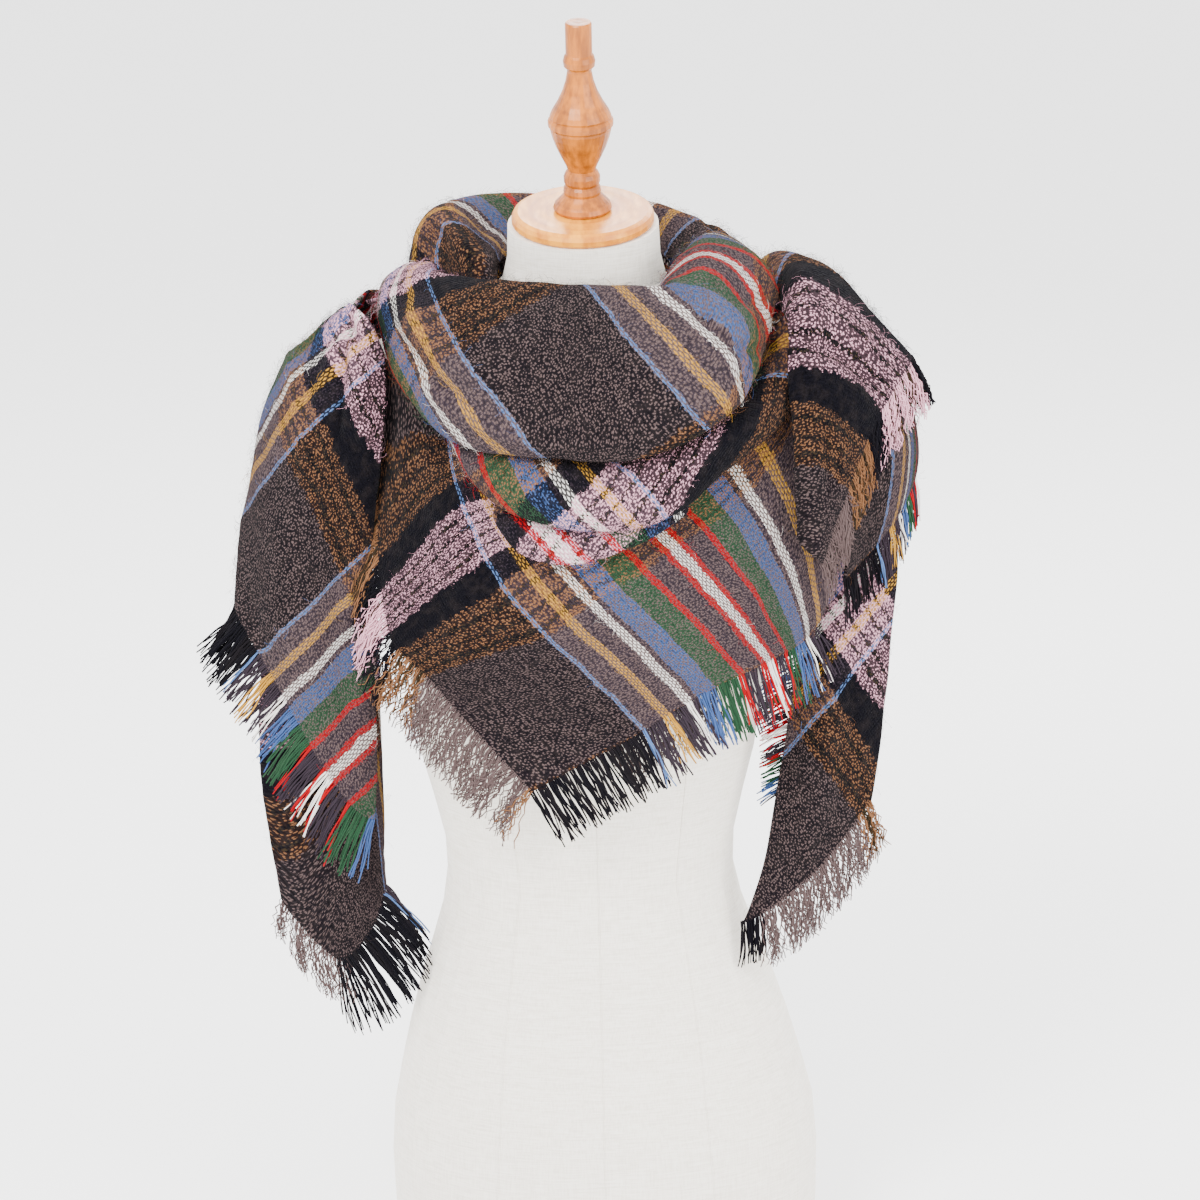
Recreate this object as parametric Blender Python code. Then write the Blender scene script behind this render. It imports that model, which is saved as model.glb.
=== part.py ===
"""Plaid blanket scarf, a fringed square folded corner to corner and wound round a limbless dress form.

Metres, +Z up, the form faces -Y, and the origin is the centre of the form's flat underside.
The scarf is made as the stretches that show: a cowl of three falls round the neck, the front point with
the corner under it, a collar and a drape behind, and the two ends over the shoulders. Each stretch is a
cloth wall lofted through a few fold lines. Its tables give those lines in millimetres, a row for each.
"""

import math

import bpy
import numpy as np

MM = 0.001
CLOTH = 2.4  # thickness of the brushed cloth, mm
FRINGE_THICK = 2.0
FRINGE_GAP = 1.0  # between the edge of the cloth and its fringe, mm, wide enough for the hem's corners
SEAM = 0.6  # gap between turned pieces that are fixed together, mm
CREASE_ANGLE = math.radians(50)  # edges sharper than this stay sharp
NECK_TILT = math.radians(12)
PLATE_RADIUS = 52.0
PLATE_THICK = 9.5
FORM_SIDES = 40
FINIAL_SIDES = 28
TORSO_SQUARENESS = 0.92  # below 1 the sections are squarer than an ellipse

for old in list(bpy.data.objects):
    bpy.data.objects.remove(old)


def finish(name, colour, roughness):
    made = bpy.data.materials.new(name)
    made.use_nodes = True
    shader = made.node_tree.nodes["Principled BSDF"]
    shader.inputs["Base Color"].default_value = (*colour, 1.0)
    shader.inputs["Roughness"].default_value = roughness
    return made


LINEN = finish("linen", (0.74, 0.70, 0.64), 0.85)
MAPLE = finish("maple", (0.72, 0.42, 0.18), 0.35)
PLAID = finish("plaid_cloth", (0.16, 0.13, 0.12), 0.95)
FRINGE = finish("fringe_yarn", (0.34, 0.24, 0.19), 0.95)


def add_object(name, points, faces, material):
    """A mesh object of one closed body, with its faces turned outwards."""
    points = np.asarray(points, float) * MM
    fans = [(f[0], f[k], f[k + 1]) for f in faces for k in range(1, len(f) - 1)]
    corners = points[np.array(fans)]
    if np.linalg.det(corners).sum() < 0:
        faces = [f[::-1] for f in faces]
    mesh = bpy.data.meshes.new(name)
    mesh.from_pydata(points.tolist(), [], faces)
    mesh.validate()
    mesh.shade_smooth()
    mesh.set_sharp_from_angle(angle=CREASE_ANGLE)
    mesh.materials.append(material)
    made = bpy.data.objects.new(name, mesh)
    bpy.context.scene.collection.objects.link(made)
    return made


# ---------------------------------------------------------------- cloth


def smooth_line(points, count):
    """count points, evenly spaced in parameter, on a smooth curve through the given ones."""
    points = np.asarray(points, float)
    chords = np.sqrt(np.maximum(np.linalg.norm(np.diff(points, axis=0), axis=1), 1e-6))
    knots = np.concatenate([[0.0], np.cumsum(chords)])
    slopes = np.gradient(points, knots, axis=0, edge_order=2 if len(points) > 2 else 1)
    at = np.linspace(0.0, knots[-1], count)
    span = np.clip(np.searchsorted(knots, at, side="right") - 1, 0, len(points) - 2)
    width = (knots[span + 1] - knots[span])[:, None]
    t = (at[:, None] - knots[span][:, None]) / width
    return (
        (2 * t**3 - 3 * t**2 + 1) * points[span]
        + (t**3 - 2 * t**2 + t) * width * slopes[span]
        + (3 * t**2 - 2 * t**3) * points[span + 1]
        + (t**3 - t**2) * width * slopes[span + 1]
    )


def cloth_grid(rows, across, along):
    """A grid (across, along, 3) of points on the cloth that passes through the rows' own points."""
    lines = np.array([smooth_line(row, along) for row in rows])
    return np.array([smooth_line(lines[:, j], across) for j in range(along)]).swapaxes(0, 1)


def unit(vectors):
    return vectors / np.maximum(np.linalg.norm(vectors, axis=-1, keepdims=True), 1e-9)


def grid_normals(grid):
    return unit(np.cross(np.gradient(grid, axis=0), np.gradient(grid, axis=1)))


def slab(name, outer, inner, material):
    """The closed solid between two grids of the same shape."""
    n, m = outer.shape[:2]
    points = np.concatenate([outer.reshape(-1, 3), inner.reshape(-1, 3)])
    far = n * m
    faces = []
    for i in range(n - 1):
        for j in range(m - 1):
            a, b, c, d = i * m + j, i * m + j + 1, (i + 1) * m + j + 1, (i + 1) * m + j
            faces.append((a, b, c, d))
            faces.append((d + far, c + far, b + far, a + far))
    ring = [j for j in range(m)]
    ring += [i * m + m - 1 for i in range(1, n)]
    ring += [(n - 1) * m + j for j in range(m - 2, -1, -1)]
    ring += [i * m for i in range(n - 2, 0, -1)]
    for k, a in enumerate(ring):
        b = ring[(k + 1) % len(ring)]
        faces.append((b, a, a + far, b + far))
    return add_object(name, points, faces, material)


def cloth_wall(name, grid):
    """A wall of cloth half on each side of the grid."""
    half = grid_normals(grid) * CLOTH / 2
    return slab(name, grid + half, grid - half, PLAID)


def fringe_strip(name, wall, side, share, lean_start, lean_end, reach):
    """The plain solid that an edge's fringe fills. It starts in line with the cloth, then hangs the way
    of the leans, which are given for the two ends of the edge. share is how much of the side it takes."""
    normals = grid_normals(wall)
    edge, inward, normal = SIDES[side](wall), SIDES[side + "_inside"](wall), SIDES[side](normals)
    count = max(2, round(len(edge) * share))
    edge, inward, normal = edge[:count], inward[:count], normal[:count]
    outward = np.cross(np.gradient(edge, axis=0), normal)
    outward = unit(outward * np.sign((outward * (edge - inward)).sum(axis=1, keepdims=True)))
    blend = np.linspace(0, 1, count)[:, None]
    lean = unit(np.array(lean_start, float) * (1 - blend) + np.array(lean_end, float) * blend)
    hang = unit(outward * 0.3 + lean * 0.9)
    start = edge + outward * FRINGE_GAP
    bend = start + outward * reach * 0.12 + hang * reach * 0.12
    strip = np.array([start, bend, bend + hang * reach * 0.4, bend + hang * reach * 0.8])
    across = grid_normals(strip)
    across[0] = normal * np.sign((across[0] * normal).sum(axis=1, keepdims=True))
    half = across * FRINGE_THICK / 2
    return slab(name, strip + half, strip - half, FRINGE)


def swag_rows(stations, foot_in, foot_drop, tuck_in, tuck_up):
    """Rows for a fall of cloth round the neck. Each station gives the fold's crest, the roll behind the
    crest, the belly and the lip. The foot runs down inside the crest, and the tuck back under the lip."""
    rows = []
    for crest, shoulder, belly, lip in stations:
        crest, lip = np.array(crest, float), np.array(lip, float)
        away = unit(np.array([crest[0], crest[1], 0.0]))
        out = unit(np.array([lip[0], lip[1], 0.0]))
        frontness = max(0.0, -away[1])
        foot = crest - away * foot_in - [0, 0, foot_drop * (0.15 + 0.85 * frontness**2)]
        tuck = lip - out * tuck_in + [0, 0, tuck_up]
        rows.append([foot, crest, shoulder, belly, lip, tuck])
    return rows


# Cowl's top fall: the folded edge of the square, round the front of the neck from left to right.
# Columns: crest, shoulder, belly, lip, each (x, y, z).
TOP_FALL = [
    ((-112, 6, 788), (-130, 4, 788), (-147, -4, 776), (-149, -10, 764)),
    ((-106, -26, 788), (-124, -34, 787), (-143, -50, 762), (-137, -70, 724)),
    ((-64, -74, 789), (-80, -100, 785), (-98, -140, 742), (-96, -132, 688)),
    ((-18, -98, 790), (-24, -130, 782), (-33, -184, 730), (-34, -172, 686)),
    ((25, -100, 788), (27, -134, 779), (30, -190, 726), (34, -178, 683)),
    ((60, -91, 786), (72, -114, 779), (90, -158, 742), (97, -146, 705)),
    ((60, -82, 787), (84, -93, 784), (110, -124, 760), (119, -112, 726)),
    ((58, -72, 789), (84, -64, 794), (119, -80, 778), (127, -92, 742)),
    ((66, -44, 793), (88, -22, 806), (122, -20, 796), (139, -31, 768)),
    ((78, 4, 796), (96, 8, 806), (122, 14, 788), (130, 12, 770)),
]

# Cowl's middle fall, a rolled band under the first one.
MIDDLE_FALL = [
    ((-96, -84, 712), (-102, -92, 709), (-106, -98, 702), (-101, -98, 693)),
    ((-84, -107, 691), (-89, -116, 686), (-93, -123, 677), (-87, -120, 666)),
    ((-66, -127, 687), (-72, -140, 681), (-76, -152, 664), (-69, -146, 648)),
    ((-40, -146, 682), (-42, -161, 678), (-44, -175, 662), (-40, -161, 636)),
    ((10, -151, 678), (10, -167, 674), (10, -184, 656), (10, -167, 628)),
    ((60, -141, 686), (61, -157, 682), (62, -173, 668), (56, -159, 636)),
    ((98, -117, 704), (102, -131, 702), (107, -146, 692), (99, -134, 664)),
    ((126, -83, 722), (133, -94, 722), (139, -106, 710), (133, -106, 684)),
    ((136, -45, 752), (148, -51, 752), (159, -60, 740), (162, -58, 712)),
]

# Cowl's lowest fall, a short crescent that shows under the middle one.
LOW_FALL = [
    ((-64, -138, 646), (-66, -142, 643), (-68, -147, 636), (-63, -146, 626)),
    ((-40, -143, 642), (-43, -149, 638), (-46, -156, 624), (-46, -152, 608)),
    ((0, -144, 638), (-4, -150, 633), (-9, -159, 618), (-12, -155, 602)),
    ((40, -143, 644), (40, -148, 641), (39, -157, 629), (36, -153, 616)),
    ((66, -135, 650), (68, -140, 648), (70, -146, 642), (68, -143, 634)),
]

# Front point: rows are warp lines from the fringed end at the bottom corner up to the cowl.
FRONT_POINT = [
    ((-47, -136, 426), (-97, -124, 481), (-122, -113, 508), (-146, -99, 532), (-153, -87, 574), (-149, -44, 733)),
    ((-6, -139, 449), (-47, -134, 495), (-78, -128, 528), (-108, -117, 562), (-124, -103, 610), (-126, -68, 710)),
    ((35, -140, 472), (3, -142, 509), (-34, -141, 547), (-70, -132, 593), (-92, -118, 644), (-102, -80, 685)),
    ((81, -132, 498), (51, -141, 537), (13, -142, 578), (-22, -138, 620), (-45, -126, 658), (-58, -99, 694)),
    ((127, -110, 513), (95, -128, 562), (58, -137, 609), (30, -136, 640), (8, -128, 674), (-12, -108, 708)),
    ((158, -90, 526), (147, -99, 582), (118, -107, 645), (99, -108, 672), (80, -106, 691), (62, -96, 711)),
    ((172, -84, 556), (165, -88, 628), (151, -84, 690), (139, -79, 698), (122, -75, 704), (106, -69, 711)),
]

# The square's other corner, of which only the fringe shows under the front point.
UNDER_POINT = [
    ((6, -124, 467), (-18, -124, 500), (-40, -120, 532)),
    ((44, -126, 486), (20, -127, 520), (0, -125, 550)),
    ((84, -118, 508), (64, -120, 540), (44, -118, 570)),
]

# Collar behind the neck, from left to right. Columns: foot beside the neck, crest, outside, outer foot.
COLLAR = [
    ((-66, -34, 774), (-72, -38, 781), (-81, -37, 780), (-87, -34, 770)),
    ((-64, -4, 784), (-76, -4, 804), (-89, -6, 804), (-97, -6, 778)),
    ((-63, 14, 785), (-84, 15, 812), (-97, 17, 810), (-103, 20, 778)),
    ((-60, 34, 786), (-95, 42, 819), (-116, 46, 813), (-127, 48, 775)),
    ((-54, 54, 784), (-95, 70, 821), (-115, 78, 810), (-128, 88, 763)),
    ((-36, 74, 780), (-58, 94, 822), (-66, 110, 812), (-72, 128, 750)),
    ((0, 82, 778), (0, 100, 817), (0, 116, 807), (0, 134, 742)),
    ((40, 72, 779), (54, 90, 811), (62, 104, 803), (70, 124, 748)),
    ((62, 46, 781), (88, 64, 803), (102, 72, 796), (116, 88, 762)),
    ((68, 25, 783), (90, 36, 800), (106, 42, 793), (119, 47, 765)),
]

# Drape over the back and the back of both shoulders, from the crest down to the hem.
BACK_DRAPE = [
    ((-168, 32, 752), (-188, 60, 716), (-196, 66, 650), (-198, 60, 590)),
    ((-118, 50, 764), (-134, 86, 722), (-142, 98, 640), (-145, 94, 555)),
    ((-56, 76, 768), (-60, 104, 722), (-64, 117, 640), (-66, 114, 525)),
    ((0, 86, 766), (0, 111, 722), (0, 124, 640), (0, 126, 505)),
    ((54, 78, 768), (60, 106, 722), (66, 118, 640), (68, 116, 520)),
    ((104, 56, 764), (124, 92, 722), (134, 104, 640), (138, 100, 545)),
    ((140, 56, 748), (162, 84, 706), (170, 90, 640), (174, 86, 580)),
]

# Left end, outer layer: lines from the shoulder down to the fringed hem, from the front round to the back.
LEFT_END = [
    ((-147, -60, 736), (-146, -82, 702), (-156, -81, 625), (-165, -71, 545), (-162, -63, 460), (-166, -60, 381)),
    ((-157, -62, 762), (-164, -88, 712), (-170, -88, 630), (-176, -80, 545), (-175, -73, 465), (-178, -68, 391)),
    ((-168, -40, 768), (-188, -76, 716), (-201, -82, 620), (-207, -76, 540), (-206, -71, 480), (-203, -70, 429)),
    ((-172, -12, 762), (-208, -48, 722), (-230, -58, 640), (-240, -58, 570), (-238, -58, 525), (-230, -60, 482)),
    ((-166, 20, 763), (-212, 0, 730), (-237, -6, 688), (-252, -14, 622), (-262, -20, 575), (-264, -28, 540)),
    ((-160, 52, 760), (-206, 54, 712), (-228, 44, 650), (-238, 34, 590), (-242, 24, 545), (-243, 14, 515)),
    ((-148, 84, 750), (-186, 96, 700), (-204, 94, 640), (-210, 84, 580), (-208, 74, 530), (-204, 64, 495)),
]

# Left end, inner layer: a corner of the square, which hangs lower behind the outer layer.
LEFT_TAIL = [
    ((-240, -22, 560), (-251, -24, 450), (-250, -24, 385), (-245, -25, 340), (-241, -25, 308)),
    ((-218, -32, 560), (-226, -36, 440), (-224, -36, 360), (-220, -34, 310), (-218, -32, 278)),
    ((-196, -36, 560), (-200, -38, 430), (-199, -38, 340), (-198, -36, 290), (-196, -34, 261)),
    ((-174, -36, 560), (-174, -38, 430), (-173, -38, 350), (-173, -36, 310), (-172, -36, 286)),
    ((-160, -30, 560), (-160, -34, 440), (-160, -36, 370), (-161, -36, 345), (-161, -34, 321)),
]

# Right end, top layer: lines from the neck side out to the fringed edge, from the back round to the front.
RIGHT_END = [
    ((134, 100, 746), (152, 104, 749), (176, 96, 735), (200, 78, 707), (216, 60, 682)),
    ((128, 66, 768), (147, 60, 780), (175, 48, 769), (203, 34, 738), (226, 16, 706)),
    ((134, 28, 760), (149, 26, 780), (180, 14, 775), (212, -2, 744), (239, -28, 715)),
    ((141, -38, 757), (155, -42, 780), (182, -50, 766), (208, -56, 732), (226, -56, 703)),
    ((146, -82, 756), (163, -92, 753), (182, -92, 729), (198, -88, 702), (207, -84, 682)),
    ((144, -107, 712), (161, -113, 710), (178, -112, 694), (189, -108, 673), (194, -102, 659)),
    ((149, -114, 662), (160, -121, 656), (168, -121, 644), (174, -117, 632), (178, -111, 620)),
    ((150, -114, 604), (155, -118, 600), (159, -119, 595), (163, -117, 590), (166, -114, 586)),
]

# Right end, middle layer, which shows outside the top one's fringe.
RIGHT_MIDDLE = [
    ((210, 14, 716), (233, -10, 690), (241, -26, 660), (239, -33, 630)),
    ((198, -6, 728), (226, -38, 680), (230, -46, 632), (224, -48, 600)),
    ((184, -38, 728), (204, -64, 660), (206, -66, 610), (199, -66, 576)),
    ((172, -64, 706), (185, -84, 640), (187, -84, 600), (183, -82, 566)),
]

# Right end, long lower layer with another corner of the square.
RIGHT_TAIL = [
    ((152, -40, 640), (152, -44, 540), (146, -50, 462), (135, -54, 392), (122, -55, 326), (108, -54, 290)),
    ((168, -52, 640), (168, -58, 540), (164, -62, 462), (153, -62, 396), (140, -61, 346), (128, -58, 302)),
    ((196, -46, 640), (198, -56, 545), (192, -60, 470), (184, -60, 410), (176, -58, 370), (168, -58, 337)),
    ((221, -26, 640), (225, -32, 560), (219, -38, 490), (214, -41, 440), (209, -43, 404), (205, -45, 382)),
]

# Right end, back layer, whose fringe shows beside the lower one. Lines run upwards.
RIGHT_UNDER = [
    ((148, -44, 395), (150, -42, 465), (151, -32, 560), (152, -24, 640), (167, -18, 704)),
    ((161, -44, 391), (170, -43, 480), (176, -36, 560), (180, -28, 640), (184, -18, 708)),
    ((190, -24, 400), (200, -20, 480), (206, -16, 560), (208, -8, 640), (206, 2, 704)),
]

walls = {
    "cowl_top_fall": cloth_grid(swag_rows(TOP_FALL, 6, 44, 12, 8), 22, 17),
    "cowl_middle_fall": cloth_grid(swag_rows(MIDDLE_FALL, 3, 8, 8, 8), 18, 9),
    "cowl_low_fall": cloth_grid(swag_rows(LOW_FALL, 1, 6, 4, 4), 10, 8),
    "front_point": cloth_grid(FRONT_POINT, 13, 14),
    "under_point": cloth_grid(UNDER_POINT, 7, 6),
    "neck_collar": cloth_grid(COLLAR, 18, 10),
    "back_drape": cloth_grid(BACK_DRAPE, 15, 9),
    "left_end": cloth_grid(LEFT_END, 15, 13),
    "left_tail": cloth_grid(LEFT_TAIL, 9, 9),
    "right_end": cloth_grid(RIGHT_END, 17, 9),
    "right_middle": cloth_grid(RIGHT_MIDDLE, 8, 8),
    "right_tail": cloth_grid(RIGHT_TAIL, 8, 12),
    "right_under": cloth_grid(RIGHT_UNDER, 5, 8),
}
for wall_name, wall_grid in walls.items():
    cloth_wall(wall_name, wall_grid)

# ---------------------------------------------------------------- fringes

SIDES = {
    "first_row": lambda grid: grid[0],
    "first_row_inside": lambda grid: grid[1],
    "first_column": lambda grid: grid[:, 0],
    "first_column_inside": lambda grid: grid[:, 1],
    "last_column": lambda grid: grid[:, -1],
    "last_column_inside": lambda grid: grid[:, -2],
}
# Columns: name, wall, side of its grid, share of the side, lean at the side's start, lean at its end, reach.
FRINGES = [
    ("front_weft_fringe", "front_point", "first_row", 0.72, (-0.5, -0.1, -0.9), (-0.1, -0.5, -0.8), 34),
    ("front_warp_fringe", "front_point", "first_column", 0.86, (0.45, -0.1, -0.9), (0.3, -0.1, -0.95), 38),
    ("under_fringe", "under_point", "first_column", 1.0, (0.2, 0.0, -1.0), (0.1, 0.0, -1.0), 40),
    ("left_end_fringe", "left_end", "last_column", 1.0, (-0.2, 0.0, -1.0), (-1.3, 0.0, -0.8), 40),
    ("left_tail_fringe", "left_tail", "last_column", 1.0, (0.4, 0.0, -1.0), (0.2, 0.0, -1.0), 36),
    ("right_end_fringe", "right_end", "last_column", 1.0, (0.2, -0.2, -0.95), (-0.1, -0.2, -0.95), 30),
    ("right_middle_fringe", "right_middle", "last_column", 1.0, (0.0, -0.3, -0.95), (0.1, -0.2, -0.95), 26),
    ("right_tail_fringe", "right_tail", "last_column", 1.0, (-0.1, -0.25, -1.0), (0.0, 0.0, -1.0), 32),
    ("right_under_fringe", "right_under", "first_row", 0.5, (-0.8, -0.6, -0.5), (-0.7, -0.8, -0.5), 28),
    ("back_fringe", "back_drape", "last_column", 1.0, (0.0, 0.1, -1.0), (0.0, 0.1, -1.0), 34),
]
for fringe_name, wall_name, *setting in FRINGES:
    fringe_strip(fringe_name, walls[wall_name], *setting)

# ---------------------------------------------------------------- dress form
# Torso sections. Columns: height, half width, front depth, back depth, centre x, centre y, forward tilt.
TORSO = [
    (0, 158, 108, 106, 0, 0, 0),
    (45, 164, 115, 114, 0, 0, 0),
    (90, 165, 119, 119, 0, 0, 0),
    (130, 162, 117, 116, 0, 0, 0),
    (165, 154, 112, 111, -1, 0, 0),
    (200, 145, 105, 104, -2, 0, 0),
    (230, 136, 99, 97, -3, 0, 0),
    (262, 125, 92, 90, -4, 0, 0),
    (295, 114, 86, 84, -5, 0, 0),
    (322, 109, 84, 80, -6, 0, 0),
    (350, 110, 86, 80, -6, 0, 0),
    (385, 118, 91, 83, -6, 0, 0),
    (420, 127, 98, 85, -6, 0, 0),
    (470, 133, 110, 88, -5, 0, 0),
    (525, 138, 118, 92, -3, 0, 0),
    (570, 141, 112, 94, -2, 0, 0),
    (615, 144, 101, 94, -1, 0, 0),
    (655, 151, 90, 91, 0, 0, 0),
    (690, 162, 77, 85, 0, 0, 0),
    (712, 167, 67, 77, 0, 0, 0),
    (728, 160, 58, 69, 0, 0, 0),
    (741, 134, 52, 62, 0, 0, 0),
    (753, 98, 50, 57, 0, -1, 0),
    (764, 74, 50, 56, 0, -2, 2),
    (778, 60, 52, 56, 0, -4, 5),
    (795, 56, 53, 54, 0, -7, 9),
    (819, 55, 53, 53, 0, -10, 12),
]


def torso_ring(height, half_width, front, back, centre_x, centre_y, tilt):
    """One closed section of the torso, tipped forward about its own centre. The neck's are elliptical."""
    angles = np.arange(FORM_SIDES) * 2 * math.pi / FORM_SIDES
    squareness = TORSO_SQUARENESS if tilt == 0 else 1.0
    x = half_width * np.sign(np.cos(angles)) * np.abs(np.cos(angles)) ** squareness
    depth = np.where(np.sin(angles) < 0, front, back)
    y = depth * np.sign(np.sin(angles)) * np.abs(np.sin(angles)) ** squareness
    lean = math.radians(tilt)
    return np.stack([x + centre_x, y * math.cos(lean) + centre_y, height + y * math.sin(lean)], axis=1)


def loft_rings(name, rings, material):
    """A closed solid through a stack of rings, capped flat at both ends."""
    count = len(rings[0])
    points = np.concatenate(rings)
    faces = [tuple(range(count))[::-1], tuple(len(points) - count + k for k in range(count))]
    for r in range(len(rings) - 1):
        for k in range(count):
            a, b = r * count + k, r * count + (k + 1) % count
            faces.append((a, b, b + count, a + count))
    return add_object(name, points, faces, material)


loft_rings("torso", [torso_ring(*section) for section in TORSO], LINEN)

# Turned pieces, made about the neck's own leaning axis. Profiles are (radius, height above the neck).
PLATE_PROFILE = [
    (PLATE_RADIUS - 1.5, 0.0),
    (PLATE_RADIUS, 1.6),
    (PLATE_RADIUS, 5.0),
    (PLATE_RADIUS - 1.4, 8.0),
    (PLATE_RADIUS - 4.6, PLATE_THICK),
]
FINIAL_PROFILE = [
    (20.6, 0.0), (21.4, 2.0), (20.2, 5.0), (16.0, 9.5), (13.3, 12.5),
    (13.8, 14.5), (13.4, 17.5), (12.0, 19.5), (13.2, 21.8), (13.3, 26.0), (12.0, 29.0), (10.2, 31.0),
    (11.6, 35.0), (15.0, 42.0), (18.6, 50.0), (21.0, 57.0), (22.2, 62.0), (22.4, 64.0),
    (23.7, 65.5), (23.7, 69.0), (21.8, 71.0), (22.3, 72.5), (20.8, 76.0),
    (16.6, 83.0), (12.8, 91.0), (10.2, 99.0), (8.9, 106.0), (9.2, 108.0),
    (11.2, 110.0), (11.7, 114.0), (10.8, 117.5), (9.6, 119.0), (9.6, 141.5), (8.8, 142.8),
]


def turned(name, profile, foot, sides, material):
    """A piece turned on a lathe, standing at foot on the neck's leaning axis."""
    angles = np.arange(sides) * 2 * math.pi / sides
    ring = np.stack([np.cos(angles), np.sin(angles)], axis=1)
    cosine, sine = math.cos(NECK_TILT), math.sin(NECK_TILT)
    lean = np.array([[1, 0, 0], [0, cosine, -sine], [0, sine, cosine]])
    rings = []
    for radius, height in profile:
        level = np.column_stack([ring * radius, np.full(sides, height)])
        rings.append(level @ lean.T + foot)
    return loft_rings(name, rings, material)


NECK_AXIS = np.array([0.0, -math.sin(NECK_TILT), math.cos(NECK_TILT)])
NECK_TOP = np.array([0.0, TORSO[-1][5], TORSO[-1][0]])
plate_foot = NECK_TOP + NECK_AXIS * SEAM
finial_foot = plate_foot + NECK_AXIS * (PLATE_THICK + SEAM)
turned("neck_plate", PLATE_PROFILE, plate_foot, FORM_SIDES, MAPLE)
turned("finial", FINIAL_PROFILE, finial_foot, FINIAL_SIDES, MAPLE)
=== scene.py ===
"""Plaid blanket scarf wound round a limbless dress form: finishes, woven cloth, yarn fringes and nap.

The frame holds the solids. Lengths in the tables are millimetres, in the frame's own axes: the form
faces -Y and stands on z = 0. Each stretch of cloth also has its place on the flat cloth: u across the
warp stripes and v across the weft bands, both counted from the middle of a dark square.
"""

import math
from functools import partial, partialmethod

import bpy
import numpy as np
from mathutils import Matrix, Vector
from mathutils.bvhtree import BVHTree


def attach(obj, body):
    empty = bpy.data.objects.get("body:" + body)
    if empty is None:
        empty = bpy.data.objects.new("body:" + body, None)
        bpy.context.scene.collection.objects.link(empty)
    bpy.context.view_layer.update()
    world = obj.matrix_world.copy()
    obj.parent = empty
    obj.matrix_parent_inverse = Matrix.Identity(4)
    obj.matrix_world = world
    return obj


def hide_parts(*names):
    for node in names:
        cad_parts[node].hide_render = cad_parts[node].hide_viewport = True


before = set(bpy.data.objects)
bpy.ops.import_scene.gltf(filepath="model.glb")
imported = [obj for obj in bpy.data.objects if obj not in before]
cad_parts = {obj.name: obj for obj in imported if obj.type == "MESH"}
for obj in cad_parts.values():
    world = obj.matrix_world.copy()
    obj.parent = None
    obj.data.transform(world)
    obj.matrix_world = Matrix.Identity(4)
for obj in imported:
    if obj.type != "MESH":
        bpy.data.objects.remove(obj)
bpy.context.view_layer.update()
MM = 0.001

# ---------------------------------------------------------------- studio
# A pale floor, a big soft light from the front left, a weaker one from the right and one from behind,
# and the camera, a little above the form and in front of it.

LOOK_AT = Vector((0.006, 0.0, 0.530))
CAMERA_AWAY = 3.0
CAMERA_RISE = math.radians(16)
CAMERA_ROLL = -math.atan(22 / 950)


def in_scene(name, data):
    """A new object in the scene."""
    made = bpy.data.objects.new(name, data)
    bpy.context.scene.collection.objects.link(made)
    return made


toward = Vector((0, -math.cos(CAMERA_RISE), math.sin(CAMERA_RISE)))
lens = bpy.data.cameras.new("camera")
lens.lens = 120
lens.sensor_width = 36
camera = in_scene("camera", lens)
turn = toward.to_track_quat("Z", "Y").to_matrix() @ Matrix.Rotation(CAMERA_ROLL, 3, "Z")
camera.matrix_world = Matrix.Translation(LOOK_AT + toward * CAMERA_AWAY) @ turn.to_4x4()
bpy.context.scene.camera = camera

# Columns: name, place, width, watts.
LIGHTS = [
    ("key_light", (-1.1, -2.3, 2.5), 1.2, 165),
    ("fill_light", (2.1, -1.9, 1.3), 1.8, 75),
    ("back_light", (0.4, 1.9, 2.2), 1.4, 70),
]
for light_name, place, width, watts in LIGHTS:
    lamp = bpy.data.lights.new(light_name, "AREA")
    lamp.size = width
    lamp.energy = watts
    aim = (Vector(place) - LOOK_AT).to_track_quat("Z", "Y").to_matrix().to_4x4()
    in_scene(light_name, lamp).matrix_world = Matrix.Translation(place) @ aim

world = bpy.data.worlds.new("studio")
world.use_nodes = True
sky = world.node_tree.nodes["Background"].inputs
sky["Color"].default_value = (1.0, 1.0, 1.0, 1.0)
sky["Strength"].default_value = 3.0
bpy.context.scene.world = world

floor_mesh = bpy.data.meshes.new("floor")
floor_mesh.from_pydata([(-6, -6, 0), (6, -6, 0), (6, 9, 0), (-6, 9, 0)], [], [(0, 1, 2, 3)])
paper = bpy.data.materials.new("pale_paper")
paper.use_nodes = True
paper_shader = paper.node_tree.nodes["Principled BSDF"].inputs
paper_shader["Base Color"].default_value = (0.97, 0.97, 0.97, 1.0)
paper_shader["Roughness"].default_value = 0.9
floor_mesh.materials.append(paper)
in_scene("floor", floor_mesh)

# ---------------------------------------------------------------- dress form
# The torso is a moulded shell covered in off-white linen, sewn in panels. The seams run down the middle
# and over each side of the front and back, and stand out as a fine double-folded ridge.


def grow(tree, kind, settings, inputs, output=0):
    """Add a node to a tree and return one of its outputs. Inputs are values or other nodes' outputs."""
    made = tree.nodes.new(kind)
    for key, value in settings.items():
        setattr(made, key, value)
    for key, value in inputs.items():
        if isinstance(value, bpy.types.NodeSocket):
            tree.links.new(value, made.inputs[key])
        else:
            made.inputs[key].default_value = value
    return made.outputs[output]


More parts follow.
